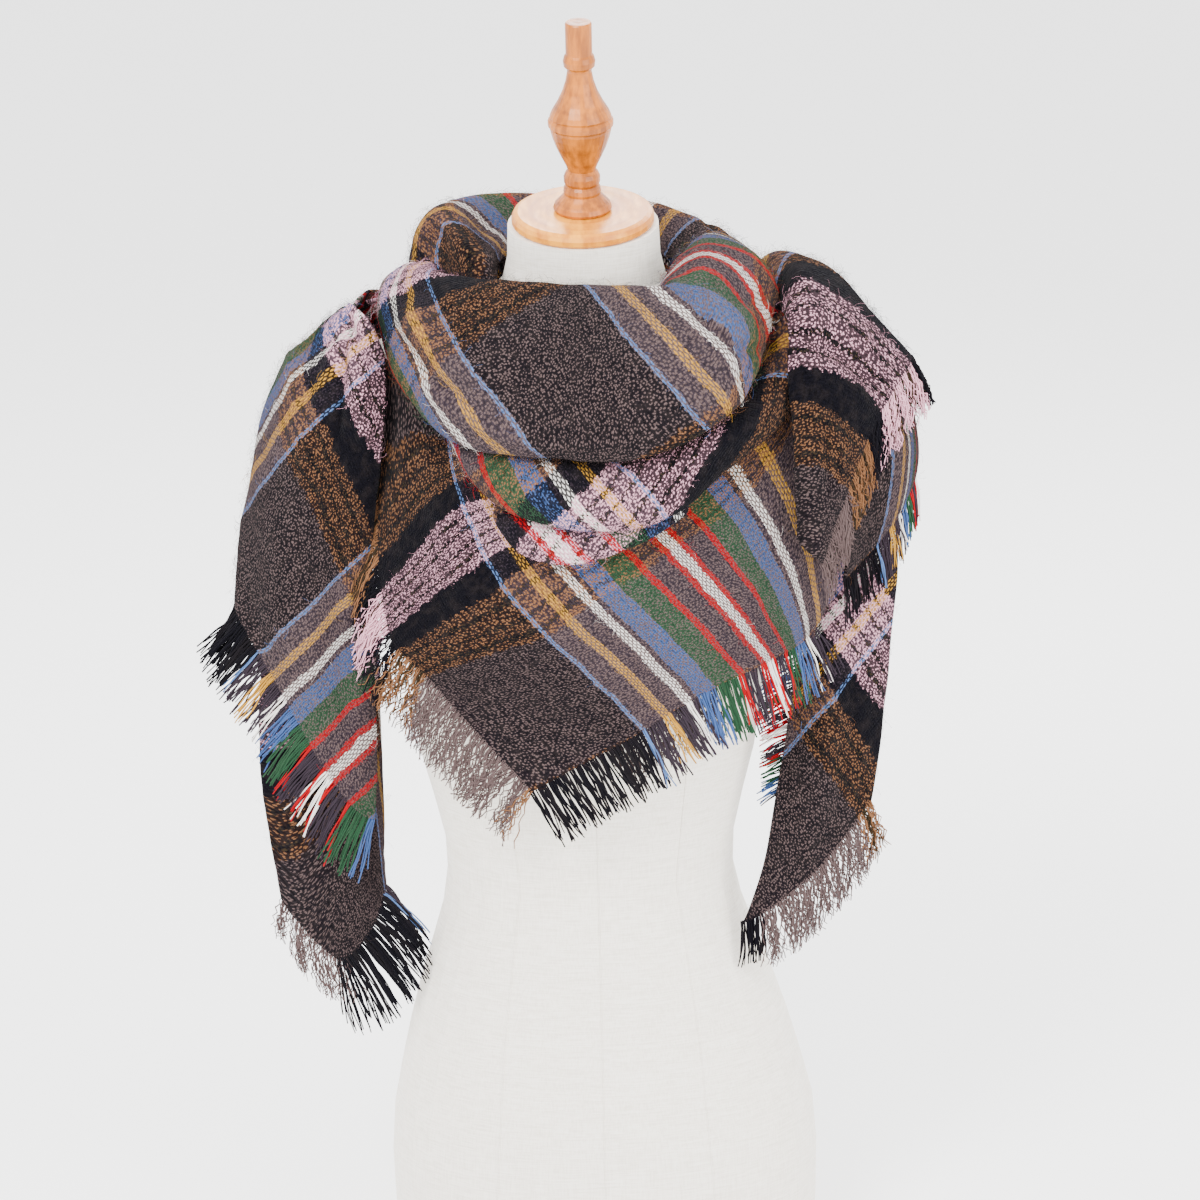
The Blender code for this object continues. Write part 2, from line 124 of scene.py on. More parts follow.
class Value:
    """One output of a shader node. Arithmetic on it adds Math nodes to its finish."""

    def __init__(self, finish, socket):
        self.finish = finish
        self.socket = socket

    def math(self, operation, *others):
        inputs = dict(enumerate((self, *others)))
        return self.finish.node("ShaderNodeMath", {"operation": operation}, inputs)

    __add__ = __radd__ = partialmethod(math, "ADD")
    __sub__ = partialmethod(math, "SUBTRACT")
    __rsub__ = partialmethod(math, "MULTIPLY_ADD", -1)
    __mul__ = partialmethod(math, "MULTIPLY")
    __truediv__ = partialmethod(math, "DIVIDE")
    __pow__ = partialmethod(math, "POWER")
    __abs__ = partialmethod(math, "ABSOLUTE")


class Finish:
    """A material, built on its Principled shader."""

    def __init__(self, name, **constants):
        self.material = bpy.data.materials.new(name)
        self.material.use_nodes = True
        self.tree = self.material.node_tree
        self.shader = self.tree.nodes["Principled BSDF"]
        for socket, value in constants.items():
            self.shader.inputs[socket.replace("_", " ")].default_value = value

    def node(self, kind, settings, inputs, output=0):
        sockets = {key: getattr(value, "socket", value) for key, value in inputs.items()}
        return Value(self, grow(self.tree, kind, settings, sockets, output))

    def xy(self, vector):
        """The first two numbers of a vector."""
        x = self.node("ShaderNodeSeparateXYZ", {}, {"Vector": vector}, "X")
        return x, Value(self, x.socket.node.outputs["Y"])

    def stops(self, places, at):
        """The colour of the last stop that at has passed. Each stop is (place, colour)."""
        chosen = self.node("ShaderNodeValToRGB", {}, {"Fac": at})
        ramp = chosen.socket.node.color_ramp
        ramp.interpolation = "CONSTANT"
        for place, tint in places[1:]:
            ramp.elements.new(place).color = (*tint, 1.0)
        ramp.elements[0].position = places[0][0]
        ramp.elements[0].color = (*places[0][1], 1.0)
        ramp.elements.remove(ramp.elements[-1])
        return chosen

    def mix(self, a, b, factor, blend="MIX"):
        settings = {"data_type": "RGBA", "blend_type": blend}
        return self.node("ShaderNodeMix", settings, {0: factor, 6: a, 7: b}, 2)

    def noise(self, at, size, detail=2.0, output="Fac"):
        """Soft noise from 0 to 1, with size in at's own units, one number for each axis."""
        scaled = self.node("ShaderNodeVectorMath", {"operation": "DIVIDE"}, {0: at, 1: size})
        return self.node("ShaderNodeTexNoise", {}, {"Vector": scaled, "Scale": 1.0, "Detail": detail}, output)

    def step(self, value, low, high):
        settings = {"interpolation_type": "SMOOTHSTEP"}
        return self.node("ShaderNodeMapRange", settings, {0: value, 1: low, 2: high})

    def feed(self, socket, value):
        self.tree.links.new(value.socket, self.shader.inputs[socket])

    def bump(self, height, distance, strength):
        inputs = {"Strength": strength, "Distance": distance, "Height": height}
        self.feed("Normal", self.node("ShaderNodeBump", {}, inputs))


def colour(code):
    """Linear colour from a dyer's hex code."""
    parts = [int(code[k : k + 2], 16) / 255 for k in (0, 2, 4)]
    return tuple(p / 12.92 if p <= 0.04045 else ((p + 0.055) / 1.055) ** 2.4 for p in parts)


LINEN_PALE = (*colour("e6e0d6"), 1.0)
LINEN_DEEP = (*colour("d2cabd"), 1.0)

linen = Finish("linen", Roughness=0.88, Sheen_Weight=0.15)
place = linen.node("ShaderNodeTexCoord", {}, {}, "Object")
upright = linen.noise(place, (0.0009, 0.0009, 0.016))
level = linen.noise(place, (0.014, 0.014, 0.0008))
slubs = linen.noise(place, (0.030, 0.030, 0.0016), 3.0)
weave = upright * 0.5 + level * 0.5
linen.feed("Base Color", linen.mix(LINEN_PALE, LINEN_DEEP, linen.step(weave * 0.8 + slubs * 0.3, 0.42, 0.72)))
linen.bump(weave, 0.0005, 0.5)


def dress(node, material):
    """Give a node of the frame its finish."""
    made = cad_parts[node]
    for material_slot in made.material_slots:
        material_slot.material = material


dress("torso", linen.material)
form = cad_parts["torso"]
form_tree = BVHTree.FromPolygons(
    [form.matrix_world @ vertex.co for vertex in form.data.vertices],
    [tuple(face.vertices) for face in form.data.polygons],
)

SEAM_RADIUS = 0.55  # of a seam's round ridge, mm
SEAM_LIFT = 0.11  # how far the middle of the ridge stands off the linen, mm
SEAM_POINTS = 60
# Each seam's distance from the middle at a few heights, mm.
SEAM_HEIGHTS = (8, 90, 200, 330, 450, 540, 640, 735)
SEAM_LINES = {
    "middle": (0, 0, 0, 0, 0, 0, 0, 0),
    "side": (84, 82, 74, 58, 70, 80, 84, 92),
}


def unit(vectors):
    return vectors / np.maximum(np.linalg.norm(vectors, axis=-1, keepdims=True), 1e-9)


def tube_along(points, radius, sides):
    """Points and faces of a closed tube along a line of points, all in the points' own units."""
    along = unit(np.gradient(points, axis=0))
    across = unit(np.cross(along, [0.31, 0.92, 0.24]))
    third = np.cross(along, across)
    angles = np.arange(sides) * 2 * math.pi / sides
    ring = across[:, None] * np.cos(angles)[None, :, None] + third[:, None] * np.sin(angles)[None, :, None]
    body = (points[:, None] + ring * radius).reshape(-1, 3)
    faces = [tuple(range(sides))[::-1], tuple(len(body) - sides + k for k in range(sides))]
    for r in range(len(points) - 1):
        for k in range(sides):
            a, b = r * sides + k, r * sides + (k + 1) % sides
            faces.append((a, b, b + sides, a + sides))
    return body, faces


def place_piece(name, mesh):
    """Put a mesh in the scene as a smooth piece that rides with the form."""
    mesh.shade_smooth()
    made = in_scene(name, mesh)
    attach(made, "root")
    return made


def add_piece(name, points, faces, material):
    """A mesh piece from points in metres."""
    mesh = bpy.data.meshes.new(name)
    mesh.from_pydata(np.asarray(points).tolist(), [], faces)
    mesh.materials.append(material)
    return place_piece(name, mesh)


heights = np.linspace(SEAM_HEIGHTS[0], SEAM_HEIGHTS[-1], SEAM_POINTS)
for facing, front in (("front", -1), ("back", 1)):
    for seam, side in (("middle", 1), ("side", 1), ("side", -1)):
        offsets = np.interp(heights, SEAM_HEIGHTS, SEAM_LINES[seam]) * side
        line = []
        for offset, height in zip(offsets, heights):
            start = Vector((offset * MM, front * 0.4, height * MM))
            spot, normal, _, _ = form_tree.ray_cast(start, Vector((0, -front, 0)))
            if spot is not None:
                line.append(spot + normal * SEAM_LIFT * MM)
        body, faces = tube_along(np.array(line), SEAM_RADIUS * MM, 6)
        side_name = {1: "_right", -1: "_left"}[side] if seam == "side" else ""
        add_piece(f"{facing}_{seam}_seam{side_name}", body, faces, linen.material)

# ---------------------------------------------------------------- neck cap and finial
# Both are turned in maple and varnished. The cap is paler, with fine rings left by the gouge, and the
# finial is a darker honey colour. They stand on the neck's own axis, which leans forward.

NECK_LEAN = math.radians(12)
NECK_TOP = (0.0, -0.010, 0.819)
CAP_PALE = (*colour("e89a24"), 1.0)
CAP_DEEP = (*colour("b4660c"), 1.0)
FINIAL_PALE = (*colour("b0620c"), 1.0)
FINIAL_DEEP = (*colour("743a04"), 1.0)


def maple(name, pale, deep, figure, ring_pitch):
    """Varnished maple. figure is the grain's size across, along and up, in metres."""
    wood = Finish(name, Specular_IOR_Level=0.25, Coat_Weight=0.15, Coat_Roughness=0.15)
    place = wood.node("ShaderNodeTexCoord", {}, {}, "Object")
    settings = {"vector_type": "TEXTURE"}
    inputs = {"Vector": place, "Location": NECK_TOP, "Rotation": (NECK_LEAN, 0, 0)}
    local = wood.node("ShaderNodeMapping", settings, inputs)
    grain = wood.noise(local, figure, 4.0)
    flame = wood.noise(local, tuple(size * 0.3 for size in figure), 5.0)
    x, y = wood.xy(local)
    radius = (x**2.0 + y**2.0) ** 0.5
    rings = (radius * (2 * math.pi / ring_pitch) + grain * 2.0).math("SINE")
    shade = wood.step(grain * 0.65 + flame * 0.35, 0.40, 0.62)
    wood.feed("Base Color", wood.mix(pale, deep, shade * 0.75 + wood.step(rings, 0.55, 1.0) * 0.18))
    wood.feed("Roughness", flame * 0.2 + 0.28)
    wood.bump(rings * 0.6 + flame * 0.4, 0.0004, 0.5)
    return wood.material


dress("neck_plate", maple("cap_maple", CAP_PALE, CAP_DEEP, (0.014, 0.045, 0.020), 0.0125))
dress("finial", maple("finial_maple", FINIAL_PALE, FINIAL_DEEP, (0.009, 0.009, 0.040), 0.006))

# ---------------------------------------------------------------- plaid cloth
# One large square of loose plain weave in bouclé yarn, brushed until it is soft and hairy. The warp runs
# charcoal, blue, plum, yellow, white, green and red, and the weft taupe, tan, olive, charcoal and pink.
# Its raw edges are left as fringes.

CHARCOAL = colour("0c0b10")
TAUPE = colour("514342")
TAN = colour("6c4a32")
OLIVE = colour("2c2318")
PINK = colour("c491a0")
BLUE = colour("48608a")
DENIM = colour("354a74")
YELLOW = colour("a0752c")
WHITE = colour("d2cdc8")
GREEN = colour("203c29")
RED = colour("8a0410")
PLUM = colour("2a232a")
NAP_TINT = (*colour("8d7b70"), 1.0)

WARP_HALF = 162  # mm from the middle of the dark square to the middle of the white stripe
WEFT_HALF = 144  # mm from the middle of the taupe band to the middle of the pink one
# Warp stripes. Columns: where each starts, yarn, how much of the yarn shows, how bold its floats are.
WARP = [
    (0, CHARCOAL, 0.63, 0.10),
    (48.5, BLUE, 0.46, 0.9),
    (51.5, PLUM, 0.52, 0.14),
    (66.0, YELLOW, 0.38, 1.1),
    (73.0, PLUM, 0.52, 0.14),
    (86.0, WHITE, 0.34, 1.1),
    (93.0, PLUM, 0.52, 0.14),
    (97.0, DENIM, 0.50, 0.20),
    (113.0, GREEN, 0.60, 0.14),
    (131.0, RED, 0.70, 0.5),
    (136.5, PLUM, 0.54, 0.14),
    (152.0, RED, 0.70, 0.5),
    (157.5, WHITE, 0.36, 1.1),
]
# Weft bands. Columns: where each starts, yarn, how far it hides the warp.
WEFT = [
    (0, TAUPE, 0),
    (58, TAN, 0),
    (64, OLIVE, 0),
    (67, TAN, 0),
    (74, OLIVE, 0),
    (76, TAN, 0),
    (85, OLIVE, 0),
    (88, TAN, 0),
    (95, CHARCOAL, 0.11),
    (117, PINK, 0),
    (126, OLIVE, 0),
    (128, PINK, 0),
    (136, OLIVE, 0),
    (138, PINK, 0),
]
WARP_PITCH = 1.8  # mm from one warp yarn to the next
WEFT_PITCH = 2.3  # mm from one weft yarn to the next
CURL_SIZE = (2.2, 1.6, 9)  # mm of a weft curl across the warp, along it and through the cloth


def plaid(name, shown):
    """The plaid on its own cloth attribute, in mm. shown is "cloth", or "warp" or "weft" for loose yarn."""
    finish = Finish(name, Roughness=0.95, Specular_IOR_Level=0.0, Sheen_Weight=0.02, Sheen_Roughness=0.5)
    cloth = finish.node("ShaderNodeAttribute", {"attribute_name": "cloth"}, {}, "Vector")
    flat_u, flat_v = finish.xy(cloth)
    sway_u, sway_v = finish.xy(finish.noise(cloth, (30, 30, 30), 1.0, "Color"))
    ragged_u, ragged_v = finish.xy(finish.noise(cloth, (2.6, 2.6, 3), 1.0, "Color"))
    swayed_u = flat_u + (sway_u - 0.5) * 4
    u, v = flat_u, flat_v
    if shown == "cloth":
        u = swayed_u + (ragged_u - 0.5) * 3.4
        v = flat_v + (sway_v - 0.5) * 8 + (ragged_v - 0.5) * 9
    stripe = abs(u).math("PINGPONG", WARP_HALF) / WARP_HALF
    band = abs(v).math("PINGPONG", WEFT_HALF) / WEFT_HALF
    warp_yarn = finish.stops([(start / WARP_HALF, yarn) for start, yarn, *_ in WARP], stripe)
    weft_yarn = finish.stops([(start / WEFT_HALF, yarn) for start, yarn, _ in WEFT], band)
    if shown == "cloth":
        covers = [(start / WARP_HALF, (cover, bold, 0)) for start, _, cover, bold in WARP]
        hides = [(start / WEFT_HALF, (hide, 0, 0)) for start, _, hide in WEFT]
        cover, bold = finish.xy(finish.stops(covers, stripe))
        hide = finish.xy(finish.stops(hides, band))[0]
        # Distance from the middle of the nearest curl of the weft.
        curls = finish.node("ShaderNodeVectorMath", {"operation": "DIVIDE"}, {0: cloth, 1: CURL_SIZE})
        settings = {"voronoi_dimensions": "2D"}
        curl = finish.node("ShaderNodeTexVoronoi", settings, {"Vector": curls, "Scale": 1.0}, "Distance")
        fine = finish.noise(cloth, (1.1, 1.1, 9), 1.0)
        cloudy = finish.noise(cloth, (9, 9, 30), 1.0)
        # Each warp yarn floats over one weft yarn and dips under the next, and its neighbour the other way.
        yarn_count = (swayed_u / WARP_PITCH).math("FLOOR")
        float_wave = (flat_v * (math.pi / WEFT_PITCH) + yarn_count * math.pi).math("SINE")
        warp_round = (swayed_u * (2 * math.pi / WARP_PITCH) + math.pi).math("COSINE")
        weft_round = (flat_v * (2 * math.pi / WEFT_PITCH)).math("COSINE")
        chance = curl * 0.48 + fine * 0.40 + cloudy * 0.22
        chance = chance + float_wave * bold * 0.36 + warp_round * bold * 0.38
        limit = 0.5 + (0.5 - cover) * 0.50 + hide
        warp_up = finish.step(chance - limit, -0.04, 0.04)
        rounded = warp_round * warp_up + weft_round * (1 - warp_up)
        # shade is painted shade and painted highlight on the yarns' relief: darker at the edges of each yarn
        # and round each weft curl, lighter in the curls' middles, with the fine noise as a real random tone
        # of the yarn.
        shade = 0.84 + rounded * 0.10 + (fine - 0.5) * 1.0 + (0.42 - curl) * 0.5
        woven = finish.mix(weft_yarn, warp_yarn, warp_up)
        base = finish.mix(woven, finish.mix(weft_yarn, warp_yarn, cover), 0.16)
        # Painted shade: the colour is multiplied by shade, which darkens the gaps between yarns and curls and
        # lightens the curls' tops.
        painted_yarn_shade = finish.node("ShaderNodeCombineXYZ", {}, {"X": shade, "Y": shade, "Z": shade})
        base = finish.mix(base, painted_yarn_shade, 1.0, "MULTIPLY")
        height = rounded * 0.3 - curl * 0.7
    else:
        base = {"warp": warp_yarn, "weft": weft_yarn}[shown]
        height = ragged_u
    nap = finish.step(finish.noise(cloth, (7, 7, 9), 3.0), 0.40, 0.75)
    finish.feed("Base Color", finish.mix(base, NAP_TINT, nap * 0.02))
    finish.bump(height, 0.0012, 0.8)
    return finish.material


PLAID = plaid("plaid_cloth_brushed", "cloth")
WARP_YARN = plaid("warp_yarn", "warp")
WEFT_YARN = plaid("weft_yarn", "weft")

CLOTH = 2.4  # thickness, as the solids have it
GRID_STEP = 2.9  # mm between the shell's points
OUTSIDE, UNDERSIDE = 1.0, -1.0  # third number of the cloth attribute, for the nap
CLEAR_OF_FORM = 2.0  # mm kept between the middle of the cloth and the linen
ROUND_THE_SIDE = 0.8  # how fast stripes go on past the turning row, as a share of their pace in front
LONG_WAVE, SHORT_WAVE = 55, 21  # sizes of the cloth's uneven waves, mm
SHORT_SHARE = 0.35  # height of the short waves, as a share of the long ones


def smooth_line(points, count):
    """count points on a smooth curve through the given ones, whose first three columns are the place."""
    points = np.asarray(points, float)
    chords = np.sqrt(np.maximum(np.linalg.norm(np.diff(points[:, :3], axis=0), axis=1), 1e-6))
    knots = np.concatenate([[0.0], np.cumsum(chords)])
    slopes = np.gradient(points, knots, axis=0, edge_order=2 if len(points) > 2 else 1)
    at = np.linspace(0.0, knots[-1], count)
    span = np.clip(np.searchsorted(knots, at, side="right") - 1, 0, len(points) - 2)
    width = (knots[span + 1] - knots[span])[:, None]
    t = (at[:, None] - knots[span][:, None]) / width
    return (
        (2 * t**3 - 3 * t**2 + 1) * points[span]
        + (t**3 - 2 * t**2 + t) * width * slopes[span]
        + (3 * t**2 - 2 * t**3) * points[span + 1]
        + (t**3 - t**2) * width * slopes[span + 1]
    )


def reach_along(points):
    """How far along a line each of its points lies, from 0."""
    return np.concatenate([[0.0], np.cumsum(np.linalg.norm(np.diff(points, axis=0), axis=1))])


def outward_normals(grid):
    """Normals of the cloth that point away from the form's axis for the most part."""
    normals = unit(np.cross(np.gradient(grid, axis=0), np.gradient(grid, axis=1)))
    away = grid * [1, 1, 0.15] - [0, 0, 80]
    return normals * np.sign((normals * unit(away)).sum())


def on_the_cloth(rows, cuts, first=0, last=-1):
    """Rows with each point's place on the flat cloth. cuts gives u, v at two columns of each row, or at
    every column."""
    laid = []
    for row, row_cut in zip(rows, cuts):
        row = np.asarray([np.asarray(point, float) for point in row])
        if np.ndim(row_cut[0]):
            laid.append(np.hstack([row, np.array(row_cut, float)]))
            continue
        u_first, v_first, u_last, v_last = row_cut
        reach = reach_along(row)
        share = ((reach - reach[first]) / (reach[last] - reach[first]))[:, None]
        cut = np.array([u_first, v_first]) * (1 - share) + np.array([u_last, v_last]) * share
        laid.append(np.hstack([row, cut]))
    return laid


def straight_cut(rows, u_plane, v_plane, turn):
    """Rows of a stretch whose stripes run straight as seen from the front. Each plane gives a start and
    the rise with x, y and z. Past the turning row the stripes carry on round the side."""
    laid = []
    seen = np.asarray(rows[0], float)
    for number, row in enumerate(rows):
        row = np.asarray(row, float)
        if number > turn:
            past = np.linalg.norm((row - rows[number - 1])[:, :2], axis=1)
            seen = np.column_stack([seen[:, 0] - past * ROUND_THE_SIDE, seen[:, 1], row[:, 2]])
        else:
            seen = row
        cut = [plane[0] + seen @ np.array(plane[1:]) for plane in (u_plane, v_plane)]
        laid.append(np.column_stack([row, *cut]))
    return laid


def ripple(points, size, seed):
    """Soft uneven waves over a set of points, from about -1 to 1."""
    random = np.random.default_rng(seed)
    total = np.zeros(points.shape[:-1])
    for _ in range(7):
        heading = unit(random.normal(size=3)) * 2 * math.pi / (size * random.uniform(0.7, 1.5))
        total += np.sin((points * heading).sum(axis=-1) + random.uniform(0, 6.28))
    return total / 3.5


def crease_height(grid, path, width, height):
    """A soft ridge, or a trough if height is negative, along a path of (x, z) points on the front."""
    flat = grid[..., [0, 2]]
    path = np.asarray(path, float)
    reach = reach_along(path)
    nearest = np.full(flat.shape[:2], 1e9)
    taper = np.zeros(flat.shape[:2])
    for k, run in enumerate(np.diff(reach)):
        ahead = (path[k + 1] - path[k]) / run
        along = np.clip(((flat - path[k]) * ahead).sum(axis=-1), 0, run)
        gap = np.linalg.norm(flat - path[k] - along[..., None] * ahead, axis=-1)
        share = (reach[k] + along) / reach[-1]
        taper = np.where(gap < nearest, np.clip(6 * share * (1 - share), 0, 1) ** 0.6, taper)
        nearest = np.minimum(nearest, gap)
    return height * np.exp(-((nearest / width) ** 2)) * taper


def clear_of_form(grid, gap):
    """Moves points out to where they keep a gap, mm, from the linen."""
    for place in np.ndindex(grid.shape[:-1]):
        point = Vector(grid[place] * MM)
        spot, normal, _, _ = form_tree.find_nearest(point, 0.012)
        if spot is not None and (point - spot).dot(normal) < gap * MM:
            grid[place] = np.array(spot + normal * gap * MM) / MM


def cloth_piece(name, rows, creases, uneven, seed):
    """A stretch of cloth: a closed shell lofted through rows of (x, y, z, u, v), with its creases, each
    given as (path, width, height)."""
    rows = np.array([np.asarray(row) for row in rows])
    tall = max(reach_along(row[:, :3])[-1] for row in rows)
    wide = max(reach_along(rows[:, k, :3])[-1] for k in range(rows.shape[1]))
    along, across = max(8, int(tall / GRID_STEP)), max(8, int(wide / GRID_STEP))
    lines = np.array([smooth_line(row, along) for row in rows])
    laid = np.array([smooth_line(lines[:, j], across) for j in range(along)]).swapaxes(0, 1)
    grid, cut = laid[..., :3].copy(), laid[..., 3:]
    normals = outward_normals(grid)
    lift = (ripple(grid, LONG_WAVE, seed) + ripple(grid, SHORT_WAVE, seed + 50) * SHORT_SHARE) * uneven
    for path, width, height in creases:
        lift = lift + crease_height(grid, path, width, height)
    grid = grid + normals * lift[..., None]
    clear_of_form(grid, CLEAR_OF_FORM)
    normals = outward_normals(grid)
    n, m = grid.shape[:2]
    far = n * m
    points = np.concatenate([(grid + normals * side * CLOTH / 2).reshape(-1, 3) for side in (1, -1)])
    numbers = np.arange(far).reshape(n, m)
    corners = (numbers[:-1, :-1], numbers[:-1, 1:], numbers[1:, 1:], numbers[1:, :-1])
    top = np.stack([corner.ravel() for corner in corners], axis=1)
    ring = np.concatenate([numbers[0], numbers[1:, -1], numbers[-1, -2::-1], numbers[-2:0:-1, 0]])
    after = np.roll(ring, -1)
    rim = np.stack([after, ring, ring + far, after + far], axis=1)
    faces = np.concatenate([top, top[:, ::-1] + far, rim])
    facing = np.cross(points[top[:, 1]] - points[top[:, 0]], points[top[:, 3]] - points[top[:, 0]])
    if (facing * normals[:-1, :-1].reshape(-1, 3)).sum() < 0:
        faces = faces[:, ::-1]
    made = add_piece(name, points * MM, faces.tolist(), PLAID)
    sides = [np.hstack([cut.reshape(-1, 2), np.full((far, 1), side)]) for side in (OUTSIDE, UNDERSIDE)]
    made.data.attributes.new("cloth", "FLOAT_VECTOR", "POINT").data.foreach_set("vector", np.ravel(sides))
    return {"piece": made, "grid": grid, "cut": cut, "normals": normals}


def geometry_tree(name, inputs, result):
    """A geometry tree with labelled inputs: the tree, a way to add nodes to it, and its inputs' sockets."""
    tree = bpy.data.node_groups.new(name, "GeometryNodeTree")
    for label, kind in inputs.items():
        tree.interface.new_socket(label, in_out="INPUT", socket_type="NodeSocket" + kind)
    tree.interface.new_socket(result, in_out="OUTPUT", socket_type="NodeSocketGeometry")
    return tree, partial(grow, tree), tree.nodes.new("NodeGroupInput").outputs


def end_tree(tree, geometry, material):
    """Turn a tree's instances into plain geometry with its finish, as the tree's result."""
    real = grow(tree, "GeometryNodeRealizeInstances", {}, {"Geometry": geometry})
    finished = grow(tree, "GeometryNodeSetMaterial", {}, {"Geometry": real, "Material": material})
    tree.links.new(finished, tree.nodes.new("NodeGroupOutput").inputs[0])
    return tree


def nap_tree():
    """Loose hairs raised by the brush: small bent ribbons scattered over the outer face of the cloth."""
    inputs = {
        "Cloth": "Geometry",
        "Hairs per square metre": "Float",
        "Hair length": "Float",
        "Hair width": "Float",
        "Seed": "Int",
        "Finish": "Material",
    }
    tree, add, given = geometry_tree("brushed_nap", inputs, "Hairs")
    as_vector = {"data_type": "FLOAT_VECTOR"}
    cloth = add("GeometryNodeInputNamedAttribute", as_vector, {"Name": "cloth"}, "Attribute")
    side = add("ShaderNodeSeparateXYZ", {}, {"Vector": cloth}, "Z")
    above = {"data_type": "FLOAT", "operation": "GREATER_THAN"}
    outside = add("FunctionNodeCompare", above, {0: side, 1: 0.5})
    scatter = {
        "Mesh": given["Cloth"],
        "Selection": outside,
        "Density": given["Hairs per square metre"],
        "Seed": given["Seed"],
    }
    roots = add("GeometryNodeDistributePointsOnFaces", {}, scatter, "Points")
    bend = {
        "Resolution": 3,
        "Start": (0, 0, -0.05),
        "Start Handle": (0, 0, 0.35),
        "End Handle": (0.35, 0.1, 0.5),
        "End": (0.95, 0.25, 0.42),
    }
    spine = add("GeometryNodeCurvePrimitiveBezierSegment", {}, bend)
    half = add("ShaderNodeCombineXYZ", {}, {"X": given["Hair width"]})
    ribbon = add("GeometryNodeCurvePrimitiveLine", {}, {"End": half})
    hair = add("GeometryNodeCurveToMesh", {}, {"Curve": spine, "Profile Curve": ribbon})
    angles = {0: (-0.7, -0.7, -3.14), 1: (0.7, 0.5, 3.14), "Seed": given["Seed"]}
    spin = add("FunctionNodeRandomValue", as_vector, angles)
    turned = add("FunctionNodeEulerToRotation", {}, {"Euler": spin})
    standing = {"Rotation": roots.node.outputs["Rotation"], "Rotate By": turned}
    laid = add("FunctionNodeRotateRotation", {"rotation_space": "LOCAL"}, standing)
    uneven = {2: 0.35, 3: 1.15, "Seed": given["Seed"]}
    share = add("FunctionNodeRandomValue", {"data_type": "FLOAT"}, uneven, 1)
    size = add("ShaderNodeMath", {"operation": "MULTIPLY"}, {0: share, 1: given["Hair length"]})
    placed = {"Points": roots, "Instance": hair, "Rotation": laid, "Scale": size}
    return end_tree(tree, add("GeometryNodeInstanceOnPoints", {}, placed), given["Finish"])


def made_by_nodes(source, name, tree, material, slot, **values):
    """A plain mesh piece from a source mesh object and a geometry tree, with the tree's inputs by label."""
    modifier = source.modifiers.new(name, "NODES")
    modifier.node_group = tree
    for item in tree.interface.items_tree:
        label = item.name.replace(" ", "_")
        if label in values:
            modifier[item.identifier] = values[label]
        elif item.socket_type == "NodeSocketMaterial":
            modifier[item.identifier] = material
    graph = bpy.context.evaluated_depsgraph_get()
    mesh = bpy.data.meshes.new_from_object(source.evaluated_get(graph), depsgraph=graph)
    source.modifiers.remove(modifier)
    mesh.name = name
    return place_piece(name, mesh)


NAP = nap_tree()
NAP_LENGTH = 0.0075  # m, of the longest hairs
NAP_WIDTH = 0.018  # as a share of the hair's length
NAP_DENSITY = 95_000  # hairs per square metre


def nap_on(stretch, seed, density):
    """The brushed hairs of a stretch of cloth."""
    piece = stretch["piece"]
    values = {"Hair_length": NAP_LENGTH, "Hair_width": NAP_WIDTH, "Seed": seed}
    values["Hairs_per_square_metre"] = float(density)
    return made_by_nodes(piece, piece.name + "_nap", NAP, PLAID, "plaid_cloth", **values)


def yarn_tree():
    """Spun yarn: a round section swept along each line, thicker and thinner as the line says."""
    inputs = {"Lines": "Geometry", "Yarn radius": "Float", "Sides": "Int", "Finish": "Material"}
    tree, add, given = geometry_tree("spun_yarn", inputs, "Yarn")
    lines = add("GeometryNodeMeshToCurve", {}, {"Mesh": given["Lines"]})
    round_section = {"Resolution": given["Sides"], "Radius": given["Yarn radius"]}
    section = add("GeometryNodeCurvePrimitiveCircle", {}, round_section)
    thick = add("GeometryNodeInputNamedAttribute", {}, {"Name": "thick"}, "Attribute")
    sweep = {"Curve": lines, "Profile Curve": section, "Scale": thick, "Fill Caps": True}
    return end_tree(tree, add("GeometryNodeCurveToMesh", {}, sweep), given["Finish"])


YARN = yarn_tree()
STRAND_POINTS = 12  # places along a yarn
YARN_SIDES = 4
# What sets the two kinds of yarn apart. Columns: finish, pitch, radius and size of the curl in mm, curls
# in a yarn's length, how far yarns stray, and how far they gather into locks, as a share.
YARNS = {
    "warp": (WARP_YARN, 1.75, 0.68, 0.9, 0.9, 0.07, 0.25),
    "weft": (WEFT_YARN, 1.4, 0.46, 2.0, 3.0, 0.10, 0.80),
}
LOCK = 11  # yarns in a lock
LAYER_GAP = 1.1  # mm between layers of yarn
YARN_CLEAR = 1.4  # mm kept between a yarn's middle and the linen


def edge_of(stretch, side):
    """The places, normals and cuts along an edge of a stretch, and the places one step in from it."""
    grid, normals, cut = (stretch[part] for part in ("grid", "normals", "cut"))
    if side != "first_row":
        grid, normals, cut = (part.swapaxes(0, 1) for part in (grid, normals, cut))
    edge, inside = (-1, -2) if side == "last_column" else (0, 1)
    return grid[edge], normals[edge], cut[edge], grid[inside]


